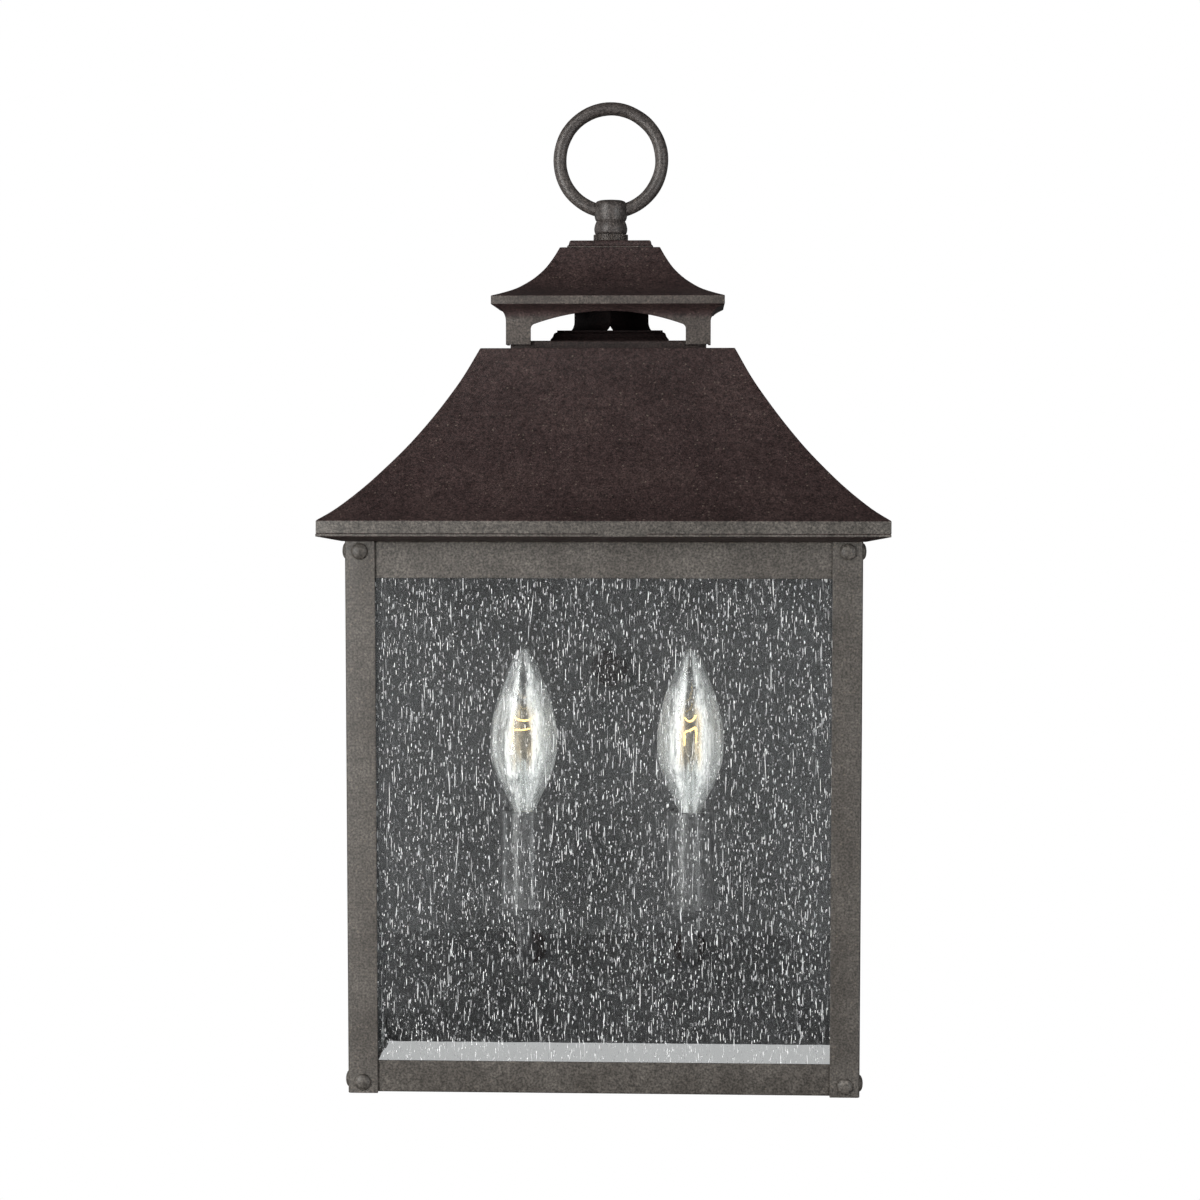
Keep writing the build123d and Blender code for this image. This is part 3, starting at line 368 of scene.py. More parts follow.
# painted shade: a near-black copy of the bronze paint for the neck and its base deep under the gallery, and for the
# knob and arm collars where shadows fall
NEAR_BLACK_SHADE_PAINT = paint("neck_painted_shade", (0.004, 0.002, 0.002), (0.006, 0.003, 0.003), (0.009, 0.005, 0.005), (0.02, 0.012, 0.01),
                   rough=(0.6, 0.8), spec=0.12)
INSIDE_PAINT = paint("inside_paint", (0.021, 0.021, 0.022), (0.027, 0.027, 0.0285), (0.034, 0.034, 0.036), (0.06, 0.06, 0.06),
                     rough=(0.5, 0.65), bump=0.25, spec=0.25)
SLEEVE_PAINT = paint("sleeve_paint", (0.027, 0.027, 0.028), (0.036, 0.036, 0.037), (0.046, 0.046, 0.047), (0.08, 0.08, 0.08),
                     rough=(0.26, 0.36), bump=0.15)
ZINC = metal("zinc_plate", (0.62, 0.62, 0.6), (0.42, 0.43, 0.42), stretch=(1, 1, 0.25))
BRASS = metal("brass_bright", (0.80, 0.60, 0.28), (0.62, 0.43, 0.18), rough=(0.2, 0.36))
GREEN = plastic("ground_green", (0.03, 0.26, 0.08), rough=(0.25, 0.4))
PHENOLIC = plastic("socket_black", (0.03, 0.028, 0.027))
PANE = pane_glass("pane_glass")
SEED_GLINT = seed_painted_glint("seed_painted_glint")
LAMP_PAINTED_LIGHT = envelope_painted_light("lamp_glass")
STEM_PAINTED_GLOW = lamp_glass_painted_glow("lamp_stem_glass", 0.1, 0.3)
WIRE = metal("lead_wire", (0.55, 0.5, 0.42), (0.35, 0.3, 0.24), rough=(0.3, 0.5))
GLOW = glow("filament_glow", (1.0, 0.62, 0.2), 2.3)


# ------------------------------------------------------------------ mesh helpers
def new_piece(name, verts, faces, mat, body="lantern", slot=None, replaces=(), angle=32.0, bevel=0.0, segments=2):
    me = bpy.data.meshes.new(name)
    me.from_pydata([MM(*v) for v in verts], [], faces)
    me.validate()
    me.update()
    me.polygons.foreach_set("use_smooth", [True] * len(me.polygons))
    me.set_sharp_from_angle(angle=radians(angle))
    me.materials.append(mat)
    o = bpy.data.objects.new(name, me)
    bpy.context.scene.collection.objects.link(o)
    if bevel > 0:
        b = o.modifiers.new("soft_edges", "BEVEL")
        b.width = bevel / 1000.0
        b.segments = segments
        b.limit_method = "ANGLE"
        b.angle_limit = radians(angle)
        b.harden_normals = True
    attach(o, body)
    if replaces:
        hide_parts(*replaces)
    return o


class Build:
    """Collects faces of several closed shells in one mesh."""

    def __init__(self):
        self.v, self.f = [], []

    def add(self, verts, faces):
        k = len(self.v)
        self.v += verts
        self.f += [tuple(i + k for i in f) for f in faces]

    def prism(self, pts, place, z0, z1):
        """pts: outline in the plane, place(u, v, w) -> (x, y, z), w runs from z0 to z1."""
        n = len(pts)
        verts = [place(u, v, z0) for u, v in pts] + [place(u, v, z1) for u, v in pts]
        faces = [tuple(reversed(range(n))), tuple(range(n, 2 * n))]
        faces += [(i, (i + 1) % n, n + (i + 1) % n, n + i) for i in range(n)]
        self.add(verts, faces)

    def lathe(self, prof, place, seg=48, wob=0.0, seed=0):
        """prof: (radius, height) from the bottom up, closed where radius is 0. place(x, y, h)."""
        verts, rings = [], []
        for r, h in prof:
            if r < 1e-6:
                rings.append([len(verts)])
                verts.append(place(0.0, 0.0, h))
            else:
                ids = []
                for k in range(seg):
                    a = 2 * pi * k / seg
                    rr = r
                    if wob:
                        rr += wob * noise.noise(Vector((cos(a) * 1.3 + seed, sin(a) * 1.3, h * 0.12)))
                    ids.append(len(verts))
                    verts.append(place(rr * cos(a), rr * sin(a), h))
                rings.append(ids)
        faces = []
        for a, b in zip(rings, rings[1:]):
            if len(a) == 1 and len(b) == 1:
                continue
            if len(a) == 1:
                faces += [(a[0], b[(k + 1) % seg], b[k]) for k in range(seg)]
            elif len(b) == 1:
                faces += [(a[k], a[(k + 1) % seg], b[0]) for k in range(seg)]
            else:
                faces += [(a[k], a[(k + 1) % seg], b[(k + 1) % seg], b[k]) for k in range(seg)]
        self.add(verts, faces)

    def ring_lathe(self, prof, place, seg=48):
        """prof is a closed outline that doesn't touch the axis."""
        n = len(prof)
        verts = []
        for k in range(seg):
            a = 2 * pi * k / seg
            verts += [place(r * cos(a), r * sin(a), h) for r, h in prof]
        faces = []
        for k in range(seg):
            for i in range(n):
                j, m = (i + 1) % n, (k + 1) % seg
                faces.append((k * n + i, m * n + i, m * n + j, k * n + j))
        self.add(verts, faces)

    def tube(self, pts, r, seg=10, closed=False):
        """Tube along 3-D points."""
        P = [Vector(p) for p in pts]
        n = len(P)
        up = Vector((0.0, 0.0, 1.0))
        verts = []
        last = None
        for i, p in enumerate(P):
            a = P[(i - 1) % n] if closed or i > 0 else P[i]
            b = P[(i + 1) % n] if closed or i < n - 1 else P[i]
            d = (b - a).normalized()
            if last is None:
                ref = up if abs(d.dot(up)) < 0.9 else Vector((1.0, 0.0, 0.0))
                u = d.cross(ref).normalized()
            else:
                u = (last - d * last.dot(d)).normalized()
            last = u
            w = d.cross(u)
            rr = r[i] if isinstance(r, list) else r
            for k in range(seg):
                t = 2 * pi * k / seg
                verts.append(tuple(p + (u * cos(t) + w * sin(t)) * rr))
        faces = []
        m = n if closed else n - 1
        for i in range(m):
            for k in range(seg):
                a0, a1 = i * seg + k, i * seg + (k + 1) % seg
                b0, b1 = ((i + 1) % n) * seg + k, ((i + 1) % n) * seg + (k + 1) % seg
                faces.append((a0, a1, b1, b0))
        if not closed:
            faces.append(tuple(reversed(range(seg))))
            faces.append(tuple(range((n - 1) * seg, n * seg)))
        self.add(verts, faces)

    def piece(self, name, mat, **kw):
        return new_piece(name, self.v, self.f, mat, **kw)


def lift(pts, grow):
    out, n = [], len(pts)
    for i, (a, z) in enumerate(pts):
        p, q = pts[max(i - 1, 0)], pts[min(i + 1, n - 1)]
        da, dz = q[0] - p[0], q[1] - p[1]
        k = math.hypot(da, dz)
        out.append((a + grow * dz / k, z - grow * da / k))
    return out


def smooth_curve(pts, step=5):
    """Points along a smooth curve through pts."""
    out, n = [], len(pts)
    for i in range(n - 1):
        p1, p2 = pts[i], pts[i + 1]
        p0 = pts[i - 1] if i > 0 else (2 * p1[0] - p2[0], 2 * p1[1] - p2[1])
        p3 = pts[i + 2] if i + 2 < n else (2 * p2[0] - p1[0], 2 * p2[1] - p1[1])
        for k in range(step):
            t = k / step
            out.append(tuple(0.5 * (2 * b + (c - a) * t + (2 * a - 5 * b + 4 * c - d) * t * t + (3 * b - a - 3 * c + d) * t ** 3)
                             for a, b, c, d in zip(p0, p1, p2, p3)))
    out.append(pts[-1])
    return out


HOLE = -1.0      # stands for the edge of the vent hole, 24 wide and 20 deep
HOLE_W, HOLE_D = 12.0, 20.0


def u_stations(a, corner, arc, runs):
    """Plan of one level of a three-sided hipped piece, from the wall round the front and back."""
    d = a
    if a == HOLE:
        a, d = HOLE_W, HOLE_D
    r = min(corner, a * 0.45)
    left = [(-a, -(d - r) * k / runs) for k in range(runs)]
    for i in range(arc + 1):
        t = pi + (pi / 2) * i / arc
        left.append((-a + r + r * cos(t), -d + r + r * sin(t)))
    front = [(-(a - r) + 2 * (a - r) * k / (2 * runs), -d) for k in range(1, 2 * runs)]
    right = [(-x, y) for x, y in reversed(left)]
    return left + front + right


def hip_shell(section, corner=0.7, arc=4, runs=6, dent=0.0, seed=0.0):
    """Closed section (half width, height) swept round three sides and mitred at the hips."""
    b = Build()
    n = len(section)
    levels = [u_stations(a, corner, arc, runs) for a, _ in section]
    m = len(levels[0])
    verts = []
    for (a, z), st in zip(section, levels):
        for x, y in st:
            d = dent * noise.noise(Vector((x * 0.02 + seed, y * 0.02, z * 0.02))) if dent else 0.0
            k = 1.0 + d / max(a, 20.0)
            verts.append((x * k, min(y * k, 0.0), z))
    faces = []
    for i in range(n):
        j = (i + 1) % n
        for k in range(m - 1):
            faces.append((i * m + k, i * m + k + 1, j * m + k + 1, j * m + k))
    faces.append(tuple(i * m for i in range(n)))
    faces.append(tuple(reversed([i * m + m - 1 for i in range(n)])))
    b.add(verts, faces)
    return b


def hip_solid(profile, corner=0.5, arc=4, runs=4):
    """Solid plate with a profile (half width, height) from the bottom up."""
    b = Build()
    levels = [u_stations(a, corner, arc, runs) for a, _ in profile]
    m, n = len(levels[0]), len(profile)
    verts = [(x, y, z) for (a, z), st in zip(profile, levels) for x, y in st]
    faces = []
    for i in range(n - 1):
        for k in range(m - 1):
            faces.append((i * m + k, i * m + k + 1, (i + 1) * m + k + 1, (i + 1) * m + k))
        faces.append((i * m + m - 1, i * m, (i + 1) * m, (i + 1) * m + m - 1))
    faces.append(tuple(reversed(range(m))))
    faces.append(tuple(range((n - 1) * m, n * m)))
    b.add(verts, faces)
    return b


def cad_finish(node, mat, bevel=0.0, angle=35.0):
    """A CAD node that stays: its material, and softened edges where it is seen."""
    o = NODES[node]
    o.data.materials.clear()
    o.data.materials.append(mat)
    if bevel > 0:
        w = o.modifiers.new("join_corners", "WELD")
        w.merge_threshold = 0.000002
        b = o.modifiers.new("soft_edges", "BEVEL")
        b.width = bevel / 1000.0
        b.segments = 2
        b.limit_method = "ANGLE"
        b.angle_limit = radians(angle)
    return o


# ------------------------------------------------------------------ camera
cam_data = bpy.data.cameras.new("camera")
cam = bpy.data.objects.new("camera", cam_data)
bpy.context.scene.collection.objects.link(cam)
cam.location = (0.0396, -1.22, 0.1107)
cam.rotation_euler = (radians(86.32), 0.0, radians(2.133))
cam_data.lens = 71.5
cam_data.sensor_width = 36.0
cam_data.dof.use_dof = False
bpy.context.scene.camera = cam
bpy.context.scene.view_settings.view_transform = "Standard"

# ------------------------------------------------------------------ frame of the body
HW, D, T = 120.0, 120.0, 1.2
TOP = 260.0
POST = 14.0


def post_outline():
    """Angle section, outer corner at the origin, legs along +u and +v, rounded fold."""
    R, r = 1.3, 0.35
    pts = []
    for k in range(5):
        t = pi + (pi / 2) * k / 4
        pts.append((R + R * cos(t), R + R * sin(t)))
    pts += [(POST, 0.0), (POST, T), (T + r, T), (T, T + r), (T, POST), (0.0, POST)]
    return pts


for side, sx in (("left", -1), ("right", 1)):
    b = Build()
    b.prism(post_outline(), lambda u, v, w, s=sx: (s * (HW - u), -D + v, w), 0.0, TOP)
    b.piece(f"post_front_{side}_sheet", FRAME_PAINT, slot="paint_frame", replaces=[f"post_front_{side}"], bevel=0.28, angle=40)
    b = Build()
    b.prism(post_outline(), lambda u, v, w, s=sx: (s * (HW - u), -v, w), 0.0, TOP)
    b.piece(f"post_rear_{side}_sheet", FRAME_PAINT, slot="paint_frame", replaces=[f"post_rear_{side}"], bevel=0.28, angle=40)


def rail_outline(z0, z1, lip, top):
    """Angle section of a rail: u inwards, v up. The outer bends are rounded."""
    R = 0.9
    arc = [(R + R * cos(t), R + R * sin(t)) for t in (pi + (pi / 2) * k / 4 for k in range(5))]
    if top:
        pts = [(u, z1 - v) for u, v in arc] + [(lip, z1), (lip, z1 - T), (T, z1 - T), (T, z0), (0.0, z0)]
    else:
        pts = [(u, z0 + v) for u, v in arc] + [(lip, z0), (lip, z0 + T), (T, z0 + T), (T, z1), (0.0, z1)]
    return pts


RF = -D + T
RS = -HW + T
for lvl, z0, z1, lip in (("top", 242.8, TOP, 8.0), ("bottom", 0.4, 15.4, 5.5)):
    out = rail_outline(z0, z1, lip, lvl == "top")
    b = Build()
    half = HW - T - 0.1
    # the tongue is mitred: its ends draw in with its depth
    n = len(out)
    verts = [(-(half - u), RF + u, v) for u, v in out] + [(half - u, RF + u, v) for u, v in out]
    faces = [tuple(reversed(range(n))), tuple(range(n, 2 * n))] + [(i, (i + 1) % n, n + (i + 1) % n, n + i) for i in range(n)]
    b.add(verts, faces)
    b.piece(f"rail_front_{lvl}_sheet", FRAME_PAINT, slot="paint_frame", replaces=[f"rail_front_{lvl}"], bevel=0.25, angle=40)
    for side, sx in (("left", -1), ("right", 1)):
        b = Build()
        y0, y1 = RF + T + 0.1, -T - 0.1
        verts = []
        for u, v in out:
            verts.append((sx * (-RS - u), y0 + max(0.0, u - T), v))
        for u, v in out:
            verts.append((sx * (-RS - u), (y1 if u <= T + 0.01 else -22.2), v))
        b.add(verts, faces)
        b.piece(f"rail_{side}_{lvl}_sheet", FRAME_PAINT, slot="paint_frame", replaces=[f"rail_{side}_{lvl}"], bevel=0.25, angle=40)

# domed rivets with a tight foot
rb = Build()
dome = [(0.0, -2.9), (2.9, -2.9), (2.9, -2.5), (2.0, -2.4), (2.0, 0.0), (3.78, 0.0), (3.9, 0.12), (3.9, 0.3), (3.7, 0.75),
        (3.2, 1.18), (2.5, 1.52), (1.7, 1.75), (0.8, 1.87), (0.0, 1.9)]
for x in (-HW + 6.9, HW - 6.9):
    for z in (5.3, 255.3):
        rb.lathe(dome, lambda u, v, h, x=x, z=z: (x + u, -D - h, z + v), 28, wob=0.05, seed=x + z)
for s in (-1, 1):
    for y in (-D + 6.9, -6.9):
        for z in (5.3, 255.3):
            rb.lathe(dome, lambda u, v, h, s=s, y=y, z=z: (s * (HW + h), y + s * u, z + v), 28, wob=0.05, seed=y + z * s)
rb.piece("rivets_domed", FRAME_PAINT, slot="paint_frame", replaces=["corner_rivets"], angle=50)

# ------------------------------------------------------------------ roofs
FLARE = [(131.8, 269.9), (123.6, 275.2), (113.5, 283.6), (104.9, 291.9), (94.5, 303.0), (85.2, 314.5), (76.9, 326.0),
         (69.2, 337.7), (61.6, 351.4)]
outer = smooth_curve(FLARE, 4)
inner = [p for p in lift(outer, -1.2) if p[1] > 268.0]
inner = [(130.6, 263.85), (130.6, 269.0)] + [p for p in inner[1:-1] if p[0] < 130.0] + [(60.2, 350.2)]
section = [(131.8, 263.85), (131.8, 269.9)] + outer[1:] + [(HOLE, 351.4), (HOLE, 350.2)] + list(reversed(inner))
hip_shell(section, corner=0.8, runs=10, dent=0.35, seed=3.0).piece(
    "main_roof_sheet", ROOF_PAINT, slot="paint_roof", replaces=["main_roof"], bevel=0.3, angle=24)

# welded stretch of the seam under the fascia
b = Build()
ws = [(-2.0, 262.85), (-1.4, 262.7), (19.6, 262.7), (20.4, 262.85), (20.4, 265.3), (19.8, 265.45), (-1.5, 265.45), (-2.0, 265.3)]
b.prism(ws, lambda u, v, w: (u, w, v), -131.7, -131.92)
b.piece("fascia_weld", ROOF_PAINT, slot="paint_roof", angle=60)

SMALL = [(56.9, 377.1), (52.2, 378.6), (46.4, 380.8), (42.4, 383.0), (37.7, 386.3), (34.3, 389.4), (31.4, 392.6),
         (28.5, 396.8), (26.2, 400.7), (25.0, 402.9)]
outer = smooth_curve(SMALL, 3)
inner = lift(outer, -1.2)
inner = [(55.7, 372.9), (55.7, 376.1)] + [p for p in inner[1:-1] if p[0] < 55.2] + [(23.9, 401.7)]
section = [(56.9, 372.9), (56.9, 377.1)] + outer[1:] + [(9.0, 402.9), (9.0, 401.7)] + list(reversed(inner))
hip_shell(section, corner=0.7, runs=6, dent=0.2, seed=7.0).piece(
    "small_roof_sheet", CUPOLA_SHADE_PAINT, slot="paint_roof", replaces=["small_roof"], bevel=0.25, angle=24)

hip_shell([(48.0, 351.4), (48.0, 355.1), (47.5, 355.6), (HOLE, 355.6), (HOLE, 351.4)], corner=0.5, runs=4).piece(
    "cap_plate_cast", CAP_PLATE_SHADE_PAINT, slot="paint_roof", replaces=["roof_cap_plate"], bevel=0.2)
hip_shell([(29.7, 355.6), (29.4, 357.0), (28.8, 357.7), (28.3, 358.4), (28.0, 359.3), (27.8, 359.9), (27.2, 360.4), (26.5, 360.6),
           (26.3, 360.7), (26.3, 361.6), (HOLE, 361.6), (HOLE, 355.6)], corner=0.5, runs=4).piece(
    "neck_base_cast", NEAR_BLACK_SHADE_PAINT, slot="paint_roof", replaces=["neck_base"], angle=50)
hip_solid([(21.5, 402.9), (21.5, 403.8), (20.8, 404.4), (20.3, 406.2), (19.8, 406.7)]).piece(
    "top_plate_cast", CUPOLA_SHADE_PAINT, slot="paint_roof", replaces=["top_plate"], bevel=0.18)
cad_finish("arched_gallery", CUPOLA_SHADE_PAINT, bevel=0.15)
cad_finish("vent_neck", NEAR_BLACK_SHADE_PAINT, bevel=0.1)
cad_finish("eave_tray", ROOF_PAINT, bevel=0.15)

# ------------------------------------------------------------------ finial
FY = -10.6
b = Build()
collar = [(0.0, 410.4), (7.4, 410.4), (7.75, 410.55), (8.1, 411.2), (8.35, 412.4), (8.3, 413.6), (7.85, 415.3), (7.5, 416.2),
          (7.25, 416.65), (7.17, 416.85), (7.25, 417.05), (7.6, 417.25), (8.05, 418.6), (8.3, 420.4), (8.35, 422.4), (8.25, 424.5),
          (7.85, 425.9), (7.05, 426.8), (5.9, 427.2), (0.0, 427.2)]
b.lathe(collar, lambda x, y, h: (x, FY + y, h), 56, wob=0.08, seed=2)
b.piece("finial_collar_cast", FINIAL_PAINT, body="finial", slot="paint_finial", replaces=["finial_collar"], angle=40)
b = Build()
pts, rad = [], []
for k in range(96):
    a = 2 * pi * k / 96
    w = 0.16 * noise.noise(Vector((cos(a) * 1.7, sin(a) * 1.7, 4.0)))
    pts.append(((25.65 + w) * sin(a), FY, 447.25 + (25.65 + w) * cos(a)))
    rad.append(3.3 + 0.10 * noise.noise(Vector((cos(a) * 3.1, sin(a) * 3.1, 9.0))))
b.tube(pts, rad, 28, closed=True)
b.piece("finial_ring_cast", FINIAL_PAINT, body="finial", slot="paint_finial", replaces=["finial_ring"], angle=60)
cad_finish("knurled_nut", CUPOLA_SHADE_PAINT)

# ------------------------------------------------------------------ seeded panes
random.seed(41)


def wavy(u, v, k):
    """Drawn ripple of the glass, in millimetres: long upright waves with finer ones across."""
    return (0.03 * noise.noise(Vector((u * 0.15, v * 0.035, k)))
            + 0.014 * noise.noise(Vector((u * 0.42, v * 0.11, k + 7.0)))
            + 0.006 * noise.noise(Vector((u * 1.1, v * 0.4, k + 13.0))))


def pane(name, u0, u1, v0, v1, face, thick, place, node):
    """place(u, depth, v): depth 0 is the outer face, thick the inner one."""
    nu, nv = int((u1 - u0) / 1.6), int((v1 - v0) / 2.6)
    verts, faces = [], []
    for side in (0, 1):
        for j in range(nv + 1):
            for i in range(nu + 1):
                u, v = u0 + (u1 - u0) * i / nu, v0 + (v1 - v0) * j / nv
                edge = min(1.0, min(u - u0, u1 - u, v - v0, v1 - v) / 3.0)
                d = 0.1 + wavy(u, v, face) * edge if side == 0 else thick - 0.06 + 0.4 * wavy(u, v, face + 31.0) * edge
                verts.append(place(u, d, v))
    row, lay = nu + 1, (nu + 1) * (nv + 1)
    for j in range(nv):
        for i in range(nu):
            a = j * row + i
            faces.append((a, a + 1, a + row + 1, a + row))
            faces.append((lay + a, lay + a + row, lay + a + row + 1, lay + a + 1))
    rim = [i for i in range(nu)] + [nu + j * row for j in range(nv)] + [nv * row + nu - i for i in range(nu)] + [(nv - j) * row for j in range(nv)]
    m = len(rim)
    for k in range(m):
        a, c = rim[k], rim[(k + 1) % m]
        faces.append((c, a, lay + a, lay + c))
    return new_piece(name, verts, faces, PANE, slot="seeded_glass", replaces=[node], angle=50)


def seeds(name, u0, u1, v0, v1, face, thick, place, count):
    """Seeds and upright streaks: small closed spindles, in and on the outer face of the pane."""
    b = Build()
    for _ in range(count):
        u = random.uniform(u0 + 0.8, u1 - 0.8)
        L = min(20.0, math.exp(random.gauss(0.22, 0.8)))
        w = random.uniform(0.09, 0.2) * (1.0 if L < 1.6 else 0.85) + 0.015
        v = random.uniform(v0 + 0.5 + L / 2, v1 - 0.5 - L / 2)
        lean = random.gauss(0.0, 0.035)
        deep = 0.16 + wavy(u, v, face) if random.random() < 0.72 else random.uniform(0.4, thick - 0.5)
        t = w * (0.55 if deep < 0.4 else 0.9)
        h = L / 2
        k = 0.55
        ring1 = [(u + lean * -h * k + du, deep + dd, v - h * k) for du, dd in ((-w, 0), (0, -t), (w, 0), (0, t))]
        ring2 = [(u + lean * h * k + du, deep + dd, v + h * k) for du, dd in ((-w, 0), (0, -t), (w, 0), (0, t))]
        vs = [(u - lean * h, deep, v - h)] + ring1 + ring2 + [(u + lean * h, deep, v + h)]
        vs = [place(p[0], max(p[1], 0.02), p[2]) for p in vs]
        fs = [(0, 1 + (i + 1) % 4, 1 + i) for i in range(4)]
        fs += [(1 + i, 1 + (i + 1) % 4, 5 + (i + 1) % 4, 5 + i) for i in range(4)]
        fs += [(9, 5 + i, 5 + (i + 1) % 4) for i in range(4)]
        b.add(vs, fs)
    return new_piece(name, b.v, b.f, SEED_GLINT, slot="seeded_glass", angle=180)


GF0 = RF + T + 0.2
front_place = lambda u, d, v: (u, GF0 + d, v)
pane("pane_front", -109.5, 109.5, 1.7, 256.4, 1.0, 3.2, front_place, "glass_front")
seeds("pane_front_seeds", -109.5, 109.5, 1.7, 256.4, 1.0, 3.2, front_place, 14500)
for side, sx, k in (("left", -1, 5.0), ("right", 1, 9.0)):
    pl = lambda u, d, v, s=sx: (s * (-(RS + T + 0.2) - d), u, v)
    pane(f"pane_{side}", -109.5, -10.5, 1.7, 256.4, k, 3.2, pl, f"glass_{side}")
    seeds(f"pane_{side}_seeds", -109.5, -10.5, 1.7, 256.4, k, 3.2, pl, 6000)

# ------------------------------------------------------------------ inside
cad_finish("back_plate", INSIDE_PAINT)
b = Build()
KY, KZ = -22.3, 193.0
knob = [(0.0, 0.0), (8.2, 0.0), (8.2, 1.6), (7.0, 2.4), (6.5, 3.4), (6.4, 4.2), (7.5, 5.2), (8.4, 6.4), (9.0, 8.0), (9.2, 9.6),
        (9.0, 11.3), (8.3, 12.9), (6.9, 14.4), (5.2, 15.4), (2.7, 16.1), (0.0, 16.3)]
b.lathe(knob, lambda u, v, h: (u, KY - h, KZ + v), 48)
# the knob is painted near black: painted shade round the cap nut
b.piece("knob_turned", NEAR_BLACK_SHADE_PAINT, body="knob", slot="paint_inside", replaces=["cap_nut"], angle=40)

LX, LY = 40.6, -65.0
for side, s in (("left", -1), ("right", 1)):
    at = lambda x, y, h, s=s: (s * LX + x, LY + y, h)
    b = Build()
    b.ring_lathe([(11.0, 76.4), (11.0, 126.6), (10.85, 126.85), (10.6, 126.9), (9.8, 126.9), (9.8, 76.4)], at, 56)
    b.piece(f"sleeve_{side}_tube", SLEEVE_PAINT, slot="candle_sleeve", replaces=[f"candle_sleeve_{side}"], angle=40)
    b = Build()
    b.ring_lathe([(4.05, 75.0), (7.0, 75.0), (9.6, 75.2), (11.4, 75.6), (12.0, 76.1), (12.2, 76.8), (12.2, 78.9), (11.9, 79.2),
                  (11.1, 79.2), (11.1, 76.35), (4.05, 76.35)], at, 48)
    b.piece(f"cup_{side}_spun", INSIDE_PAINT, slot="paint_inside", replaces=[f"candle_cup_{side}"], angle=40)
    cad_finish(f"arm_{side}", INSIDE_PAINT)
    cad_finish(f"socket_{side}", PHENOLIC)
    cad_finish(f"socket_shell_{side}", BRASS)
    cad_finish(f"lamp_base_{side}", BRASS)

    # lamp: envelope, stem with lead wires, filament
    body = f"lamp_{side}"
    G = [(5.6, 124.5), (6.2, 128.0), (8.8, 134.0), (12.5, 141.5), (15.4, 150.0), (16.3, 158.0), (15.9, 167.0), (13.9, 177.0),
         (10.8, 187.0), (6.9, 197.0), (4.4, 202.6), (2.6, 205.1), (0.0, 206.0)]
    og = smooth_curve(G, 4)
    ig = [(max(r - 0.8, 0.0), h if h < 190 else h - 0.5 * min(1.0, (h - 190) / 10)) for r, h in og]
    ig = [p for p in ig if p[0] > 0.05] + [(0.0, 205.2)]
    b = Build()
    seg = 56
    b.lathe(og, at, seg)
    k0 = len(b.v)
    b.lathe(ig, at, seg)
    # inner wall faces inwards, and a rim closes the foot
    nf = [f if min(f) < k0 else tuple(reversed(f)) for f in b.f]
    nf += [(k, k0 + k, k0 + (k + 1) % seg, (k + 1) % seg) for k in range(seg)]
    b.f = nf
    b.piece(f"lamp_{side}_envelope", LAMP_PAINTED_LIGHT, body=body, slot="lamp_glass", replaces=[f"lamp_glass_{side}"], angle=60)
    turn = 0.0 if s < 0 else radians(62)
    rot = lambda x, y, h, s=s, t=turn: (s * LX + x * cos(t) - y * sin(t), LY + x * sin(t) + y * cos(t), h)
    b = Build()
    stem = [(0.0, 124.6), (4.3, 124.6), (4.0, 126.0), (3.3, 128.0), (2.5, 132.0), (2.2, 138.0), (2.0, 146.0), (1.8, 149.0), (1.2, 151.0), (0.0, 151.5)]
    b.lathe(stem, at, 28)
    b.piece(f"lamp_{side}_stem", STEM_PAINTED_GLOW, body=body, slot="lamp_stem_glass", replaces=[f"lamp_stem_{side}"], angle=60)
    b = Build()
    for dx in (-1, 1):
        pts = [rot(dx * 0.9, 0.0, 146.0), rot(dx * 1.2, 0.0, 150.0), rot(dx * 2.6, 0.1, 154.0), rot(dx * 4.6, 0.2, 158.0), rot(dx * 5.6, 0.1, 162.0), rot(dx * 5.7, 0.0, 171.8)]
        b.tube(pts, 0.2, 8)
    b.piece(f"lamp_{side}_leads", WIRE, body=body, slot="lamp_stem_glass", angle=60)
    b = Build()
    for line in ([(-6.0, 159.2), (-5.9, 163.5), (-5.5, 165.6), (0.0, 165.9), (5.2, 166.8), (5.9, 164.0), (6.0, 159.2)],
                 [(-5.5, 172.6), (-3.0, 171.0), (0.0, 170.4), (3.0, 170.9), (5.5, 172.7)]):
        fine = smooth_curve(line, 14)
        coil = []
        for i, (x, h) in enumerate(fine):
            a = i * 1.9
            coil.append(rot(x + 0.22 * cos(a), 0.32 * sin(a), h + 0.22 * sin(a)))
        b.tube(coil, 0.34, 6)
    b.piece(f"lamp_{side}_coil", GLOW, body=body, slot="filament", replaces=[f"lamp_filament_{side}"], angle=60)

b = Build()
for s in (-1, 1):
    b.ring_lathe([(4.05, 0.0), (8.4, 0.0), (8.4, 1.2), (8.2, 1.6), (7.6, 2.4), (6.6, 2.9), (6.0, 3.2), (5.5, 3.8), (5.4, 4.2), (4.05, 4.2)],
                 lambda u, v, h, s=s: (s * LX + u, -22.0 - h, 50.0 + v), 40)
# the arm collars are painted near black: painted shadow where the arms meet the back plate
b.piece("arm_collars_turned", NEAR_BLACK_SHADE_PAINT, slot="paint_inside", replaces=["arm_collars"], angle=40)

for n in ("mounting_bar", "mounting_nipple", "nipple_nut", "arm_nuts", "finial_rod", "rod_nut", "tray_screws", "cupola_screws",
          "back_rivets", "glass_clips", "socket_saddles"):
    cad_finish(n, ZINC)
cad_finish("ground_screw", GREEN)
cad_finish("socket_contacts", BRASS)

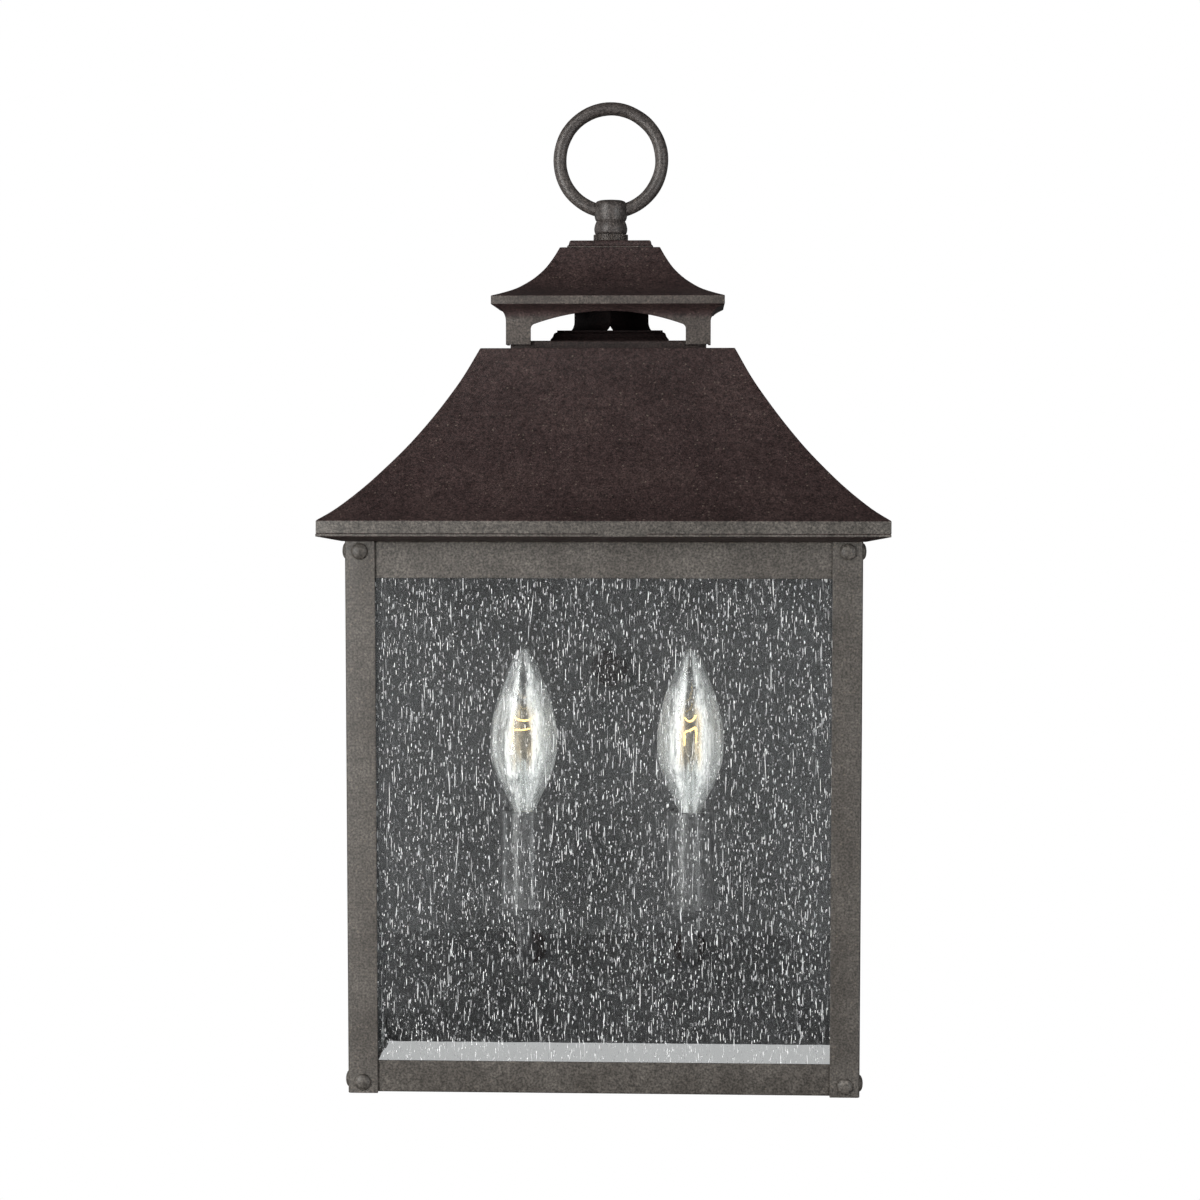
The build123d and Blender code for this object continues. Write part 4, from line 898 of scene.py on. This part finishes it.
# ------------------------------------------------------------------ stage: floor, world, lights
fm = bpy.data.materials.new("floor_pale")
t = Tree(fm)
lp = t.n("ShaderNodeLightPath")
em = t.n("ShaderNodeEmission")
em.inputs["Color"].default_value = (1.0, 1.0, 1.0, 1.0)
fsep = t.n("ShaderNodeSeparateXYZ")
t.link(t.obj(), fsep.inputs[0])
near = t.math("LESS_THAN", fsep.outputs["Y"], -1.0)
st = t.math("SUBTRACT", 1.0, t.math("MULTIPLY", lp.outputs["Is Transmission Ray"], t.math("ADD", 0.5, t.math("MULTIPLY", near, 0.45))))
t.link(st, em.inputs["Strength"])
t.out(em.outputs[0])
me = bpy.data.meshes.new("floor")
me.from_pydata([(-30, -30, -1.5), (30, -30, -1.5), (30, 30, -1.5), (-30, 30, -1.5)], [], [(0, 1, 2, 3)])
me.materials.append(fm)
floor = bpy.data.objects.new("floor", me)
bpy.context.scene.collection.objects.link(floor)
floor.visible_diffuse = False
floor.visible_glossy = False
floor.visible_shadow = False

world = bpy.data.worlds.new("studio")
bpy.context.scene.world = world
world.use_nodes = True
wt = world.node_tree
wt.nodes.clear()
out = wt.nodes.new("ShaderNodeOutputWorld")
bg = wt.nodes.new("ShaderNodeBackground")
wlp = wt.nodes.new("ShaderNodeLightPath")
tc = wt.nodes.new("ShaderNodeTexCoord")
sep = wt.nodes.new("ShaderNodeSeparateXYZ")
wt.links.new(tc.outputs["Generated"], sep.inputs[0])
# light by height: dim above and below, soft at the horizon
rh = wt.nodes.new("ShaderNodeMapRange")
rh.inputs["From Min"].default_value = -1.0
rh.inputs["From Max"].default_value = 1.0
wt.links.new(sep.outputs["Z"], rh.inputs["Value"])
rr = wt.nodes.new("ShaderNodeValToRGB")
els = rr.color_ramp.elements
els[0].position, els[0].color = 0.0, (0.015, 0.015, 0.015, 1)
els[1].position, els[1].color = 1.0, (0.05, 0.05, 0.05, 1)
for p, c in ((0.36, 0.03), (0.47, 0.13), (0.56, 0.2), (0.72, 0.07)):
    e = els.new(p)
    e.color = (c, c, c, 1)
wt.links.new(rh.outputs[0], rr.inputs["Fac"])


def wmath(op, a, b):
    m = wt.nodes.new("ShaderNodeMath")
    m.operation = op
    for i, v in ((0, a), (1, b)):
        if isinstance(v, (int, float)):
            m.inputs[i].default_value = v
        else:
            wt.links.new(v, m.inputs[i])
    return m.outputs[0]


behind = wmath("GREATER_THAN", sep.outputs["Y"], 0.0)
through = wmath("MULTIPLY", wlp.outputs["Is Transmission Ray"], wmath("ADD", 0.04, wmath("MULTIPLY", behind, 0.46)))
seen = wmath("ADD", wlp.outputs["Is Camera Ray"], through)
seen = wmath("MINIMUM", seen, 1.0)
dim = wmath("SUBTRACT", 1.0, wmath("MINIMUM", wmath("ADD", wlp.outputs["Is Camera Ray"], wlp.outputs["Is Transmission Ray"]), 1.0))
sepc = wt.nodes.new("ShaderNodeRGBToBW")
wt.links.new(rr.outputs["Color"], sepc.inputs[0])
wt.links.new(wmath("ADD", seen, wmath("MULTIPLY", dim, sepc.outputs[0])), bg.inputs["Strength"])
bg.inputs["Color"].default_value = (1, 1, 1, 1)
wt.links.new(bg.outputs[0], out.inputs["Surface"])


def softbox(name, place, aim, width, height, power, colour=(1, 1, 1)):
    d = bpy.data.lights.new(name, "AREA")
    d.shape = "RECTANGLE"
    d.size, d.size_y = width, height
    d.energy = power
    d.color = colour
    o = bpy.data.objects.new(name, d)
    bpy.context.scene.collection.objects.link(o)
    o.location = place
    o.rotation_euler = (Vector(aim) - Vector(place)).to_track_quat("-Z", "Y").to_euler()
    o.visible_camera = False
    return o


AIM = (0.0, -0.06, 0.03)
softbox("soft_left", (-0.78, -1.02, 0.26), AIM, 0.45, 1.3, 21.0, (1.0, 0.985, 0.96))
softbox("soft_right", (0.98, -1.12, 0.0), AIM, 0.4, 1.3, 9.6)
front = softbox("soft_front", (0.0, -3.6, 0.25), AIM, 3.0, 2.2, 14.0)
front.visible_glossy = False
softbox("soft_back_left", (-2.2, 0.8, 0.3), AIM, 0.8, 2.0, 7.0)
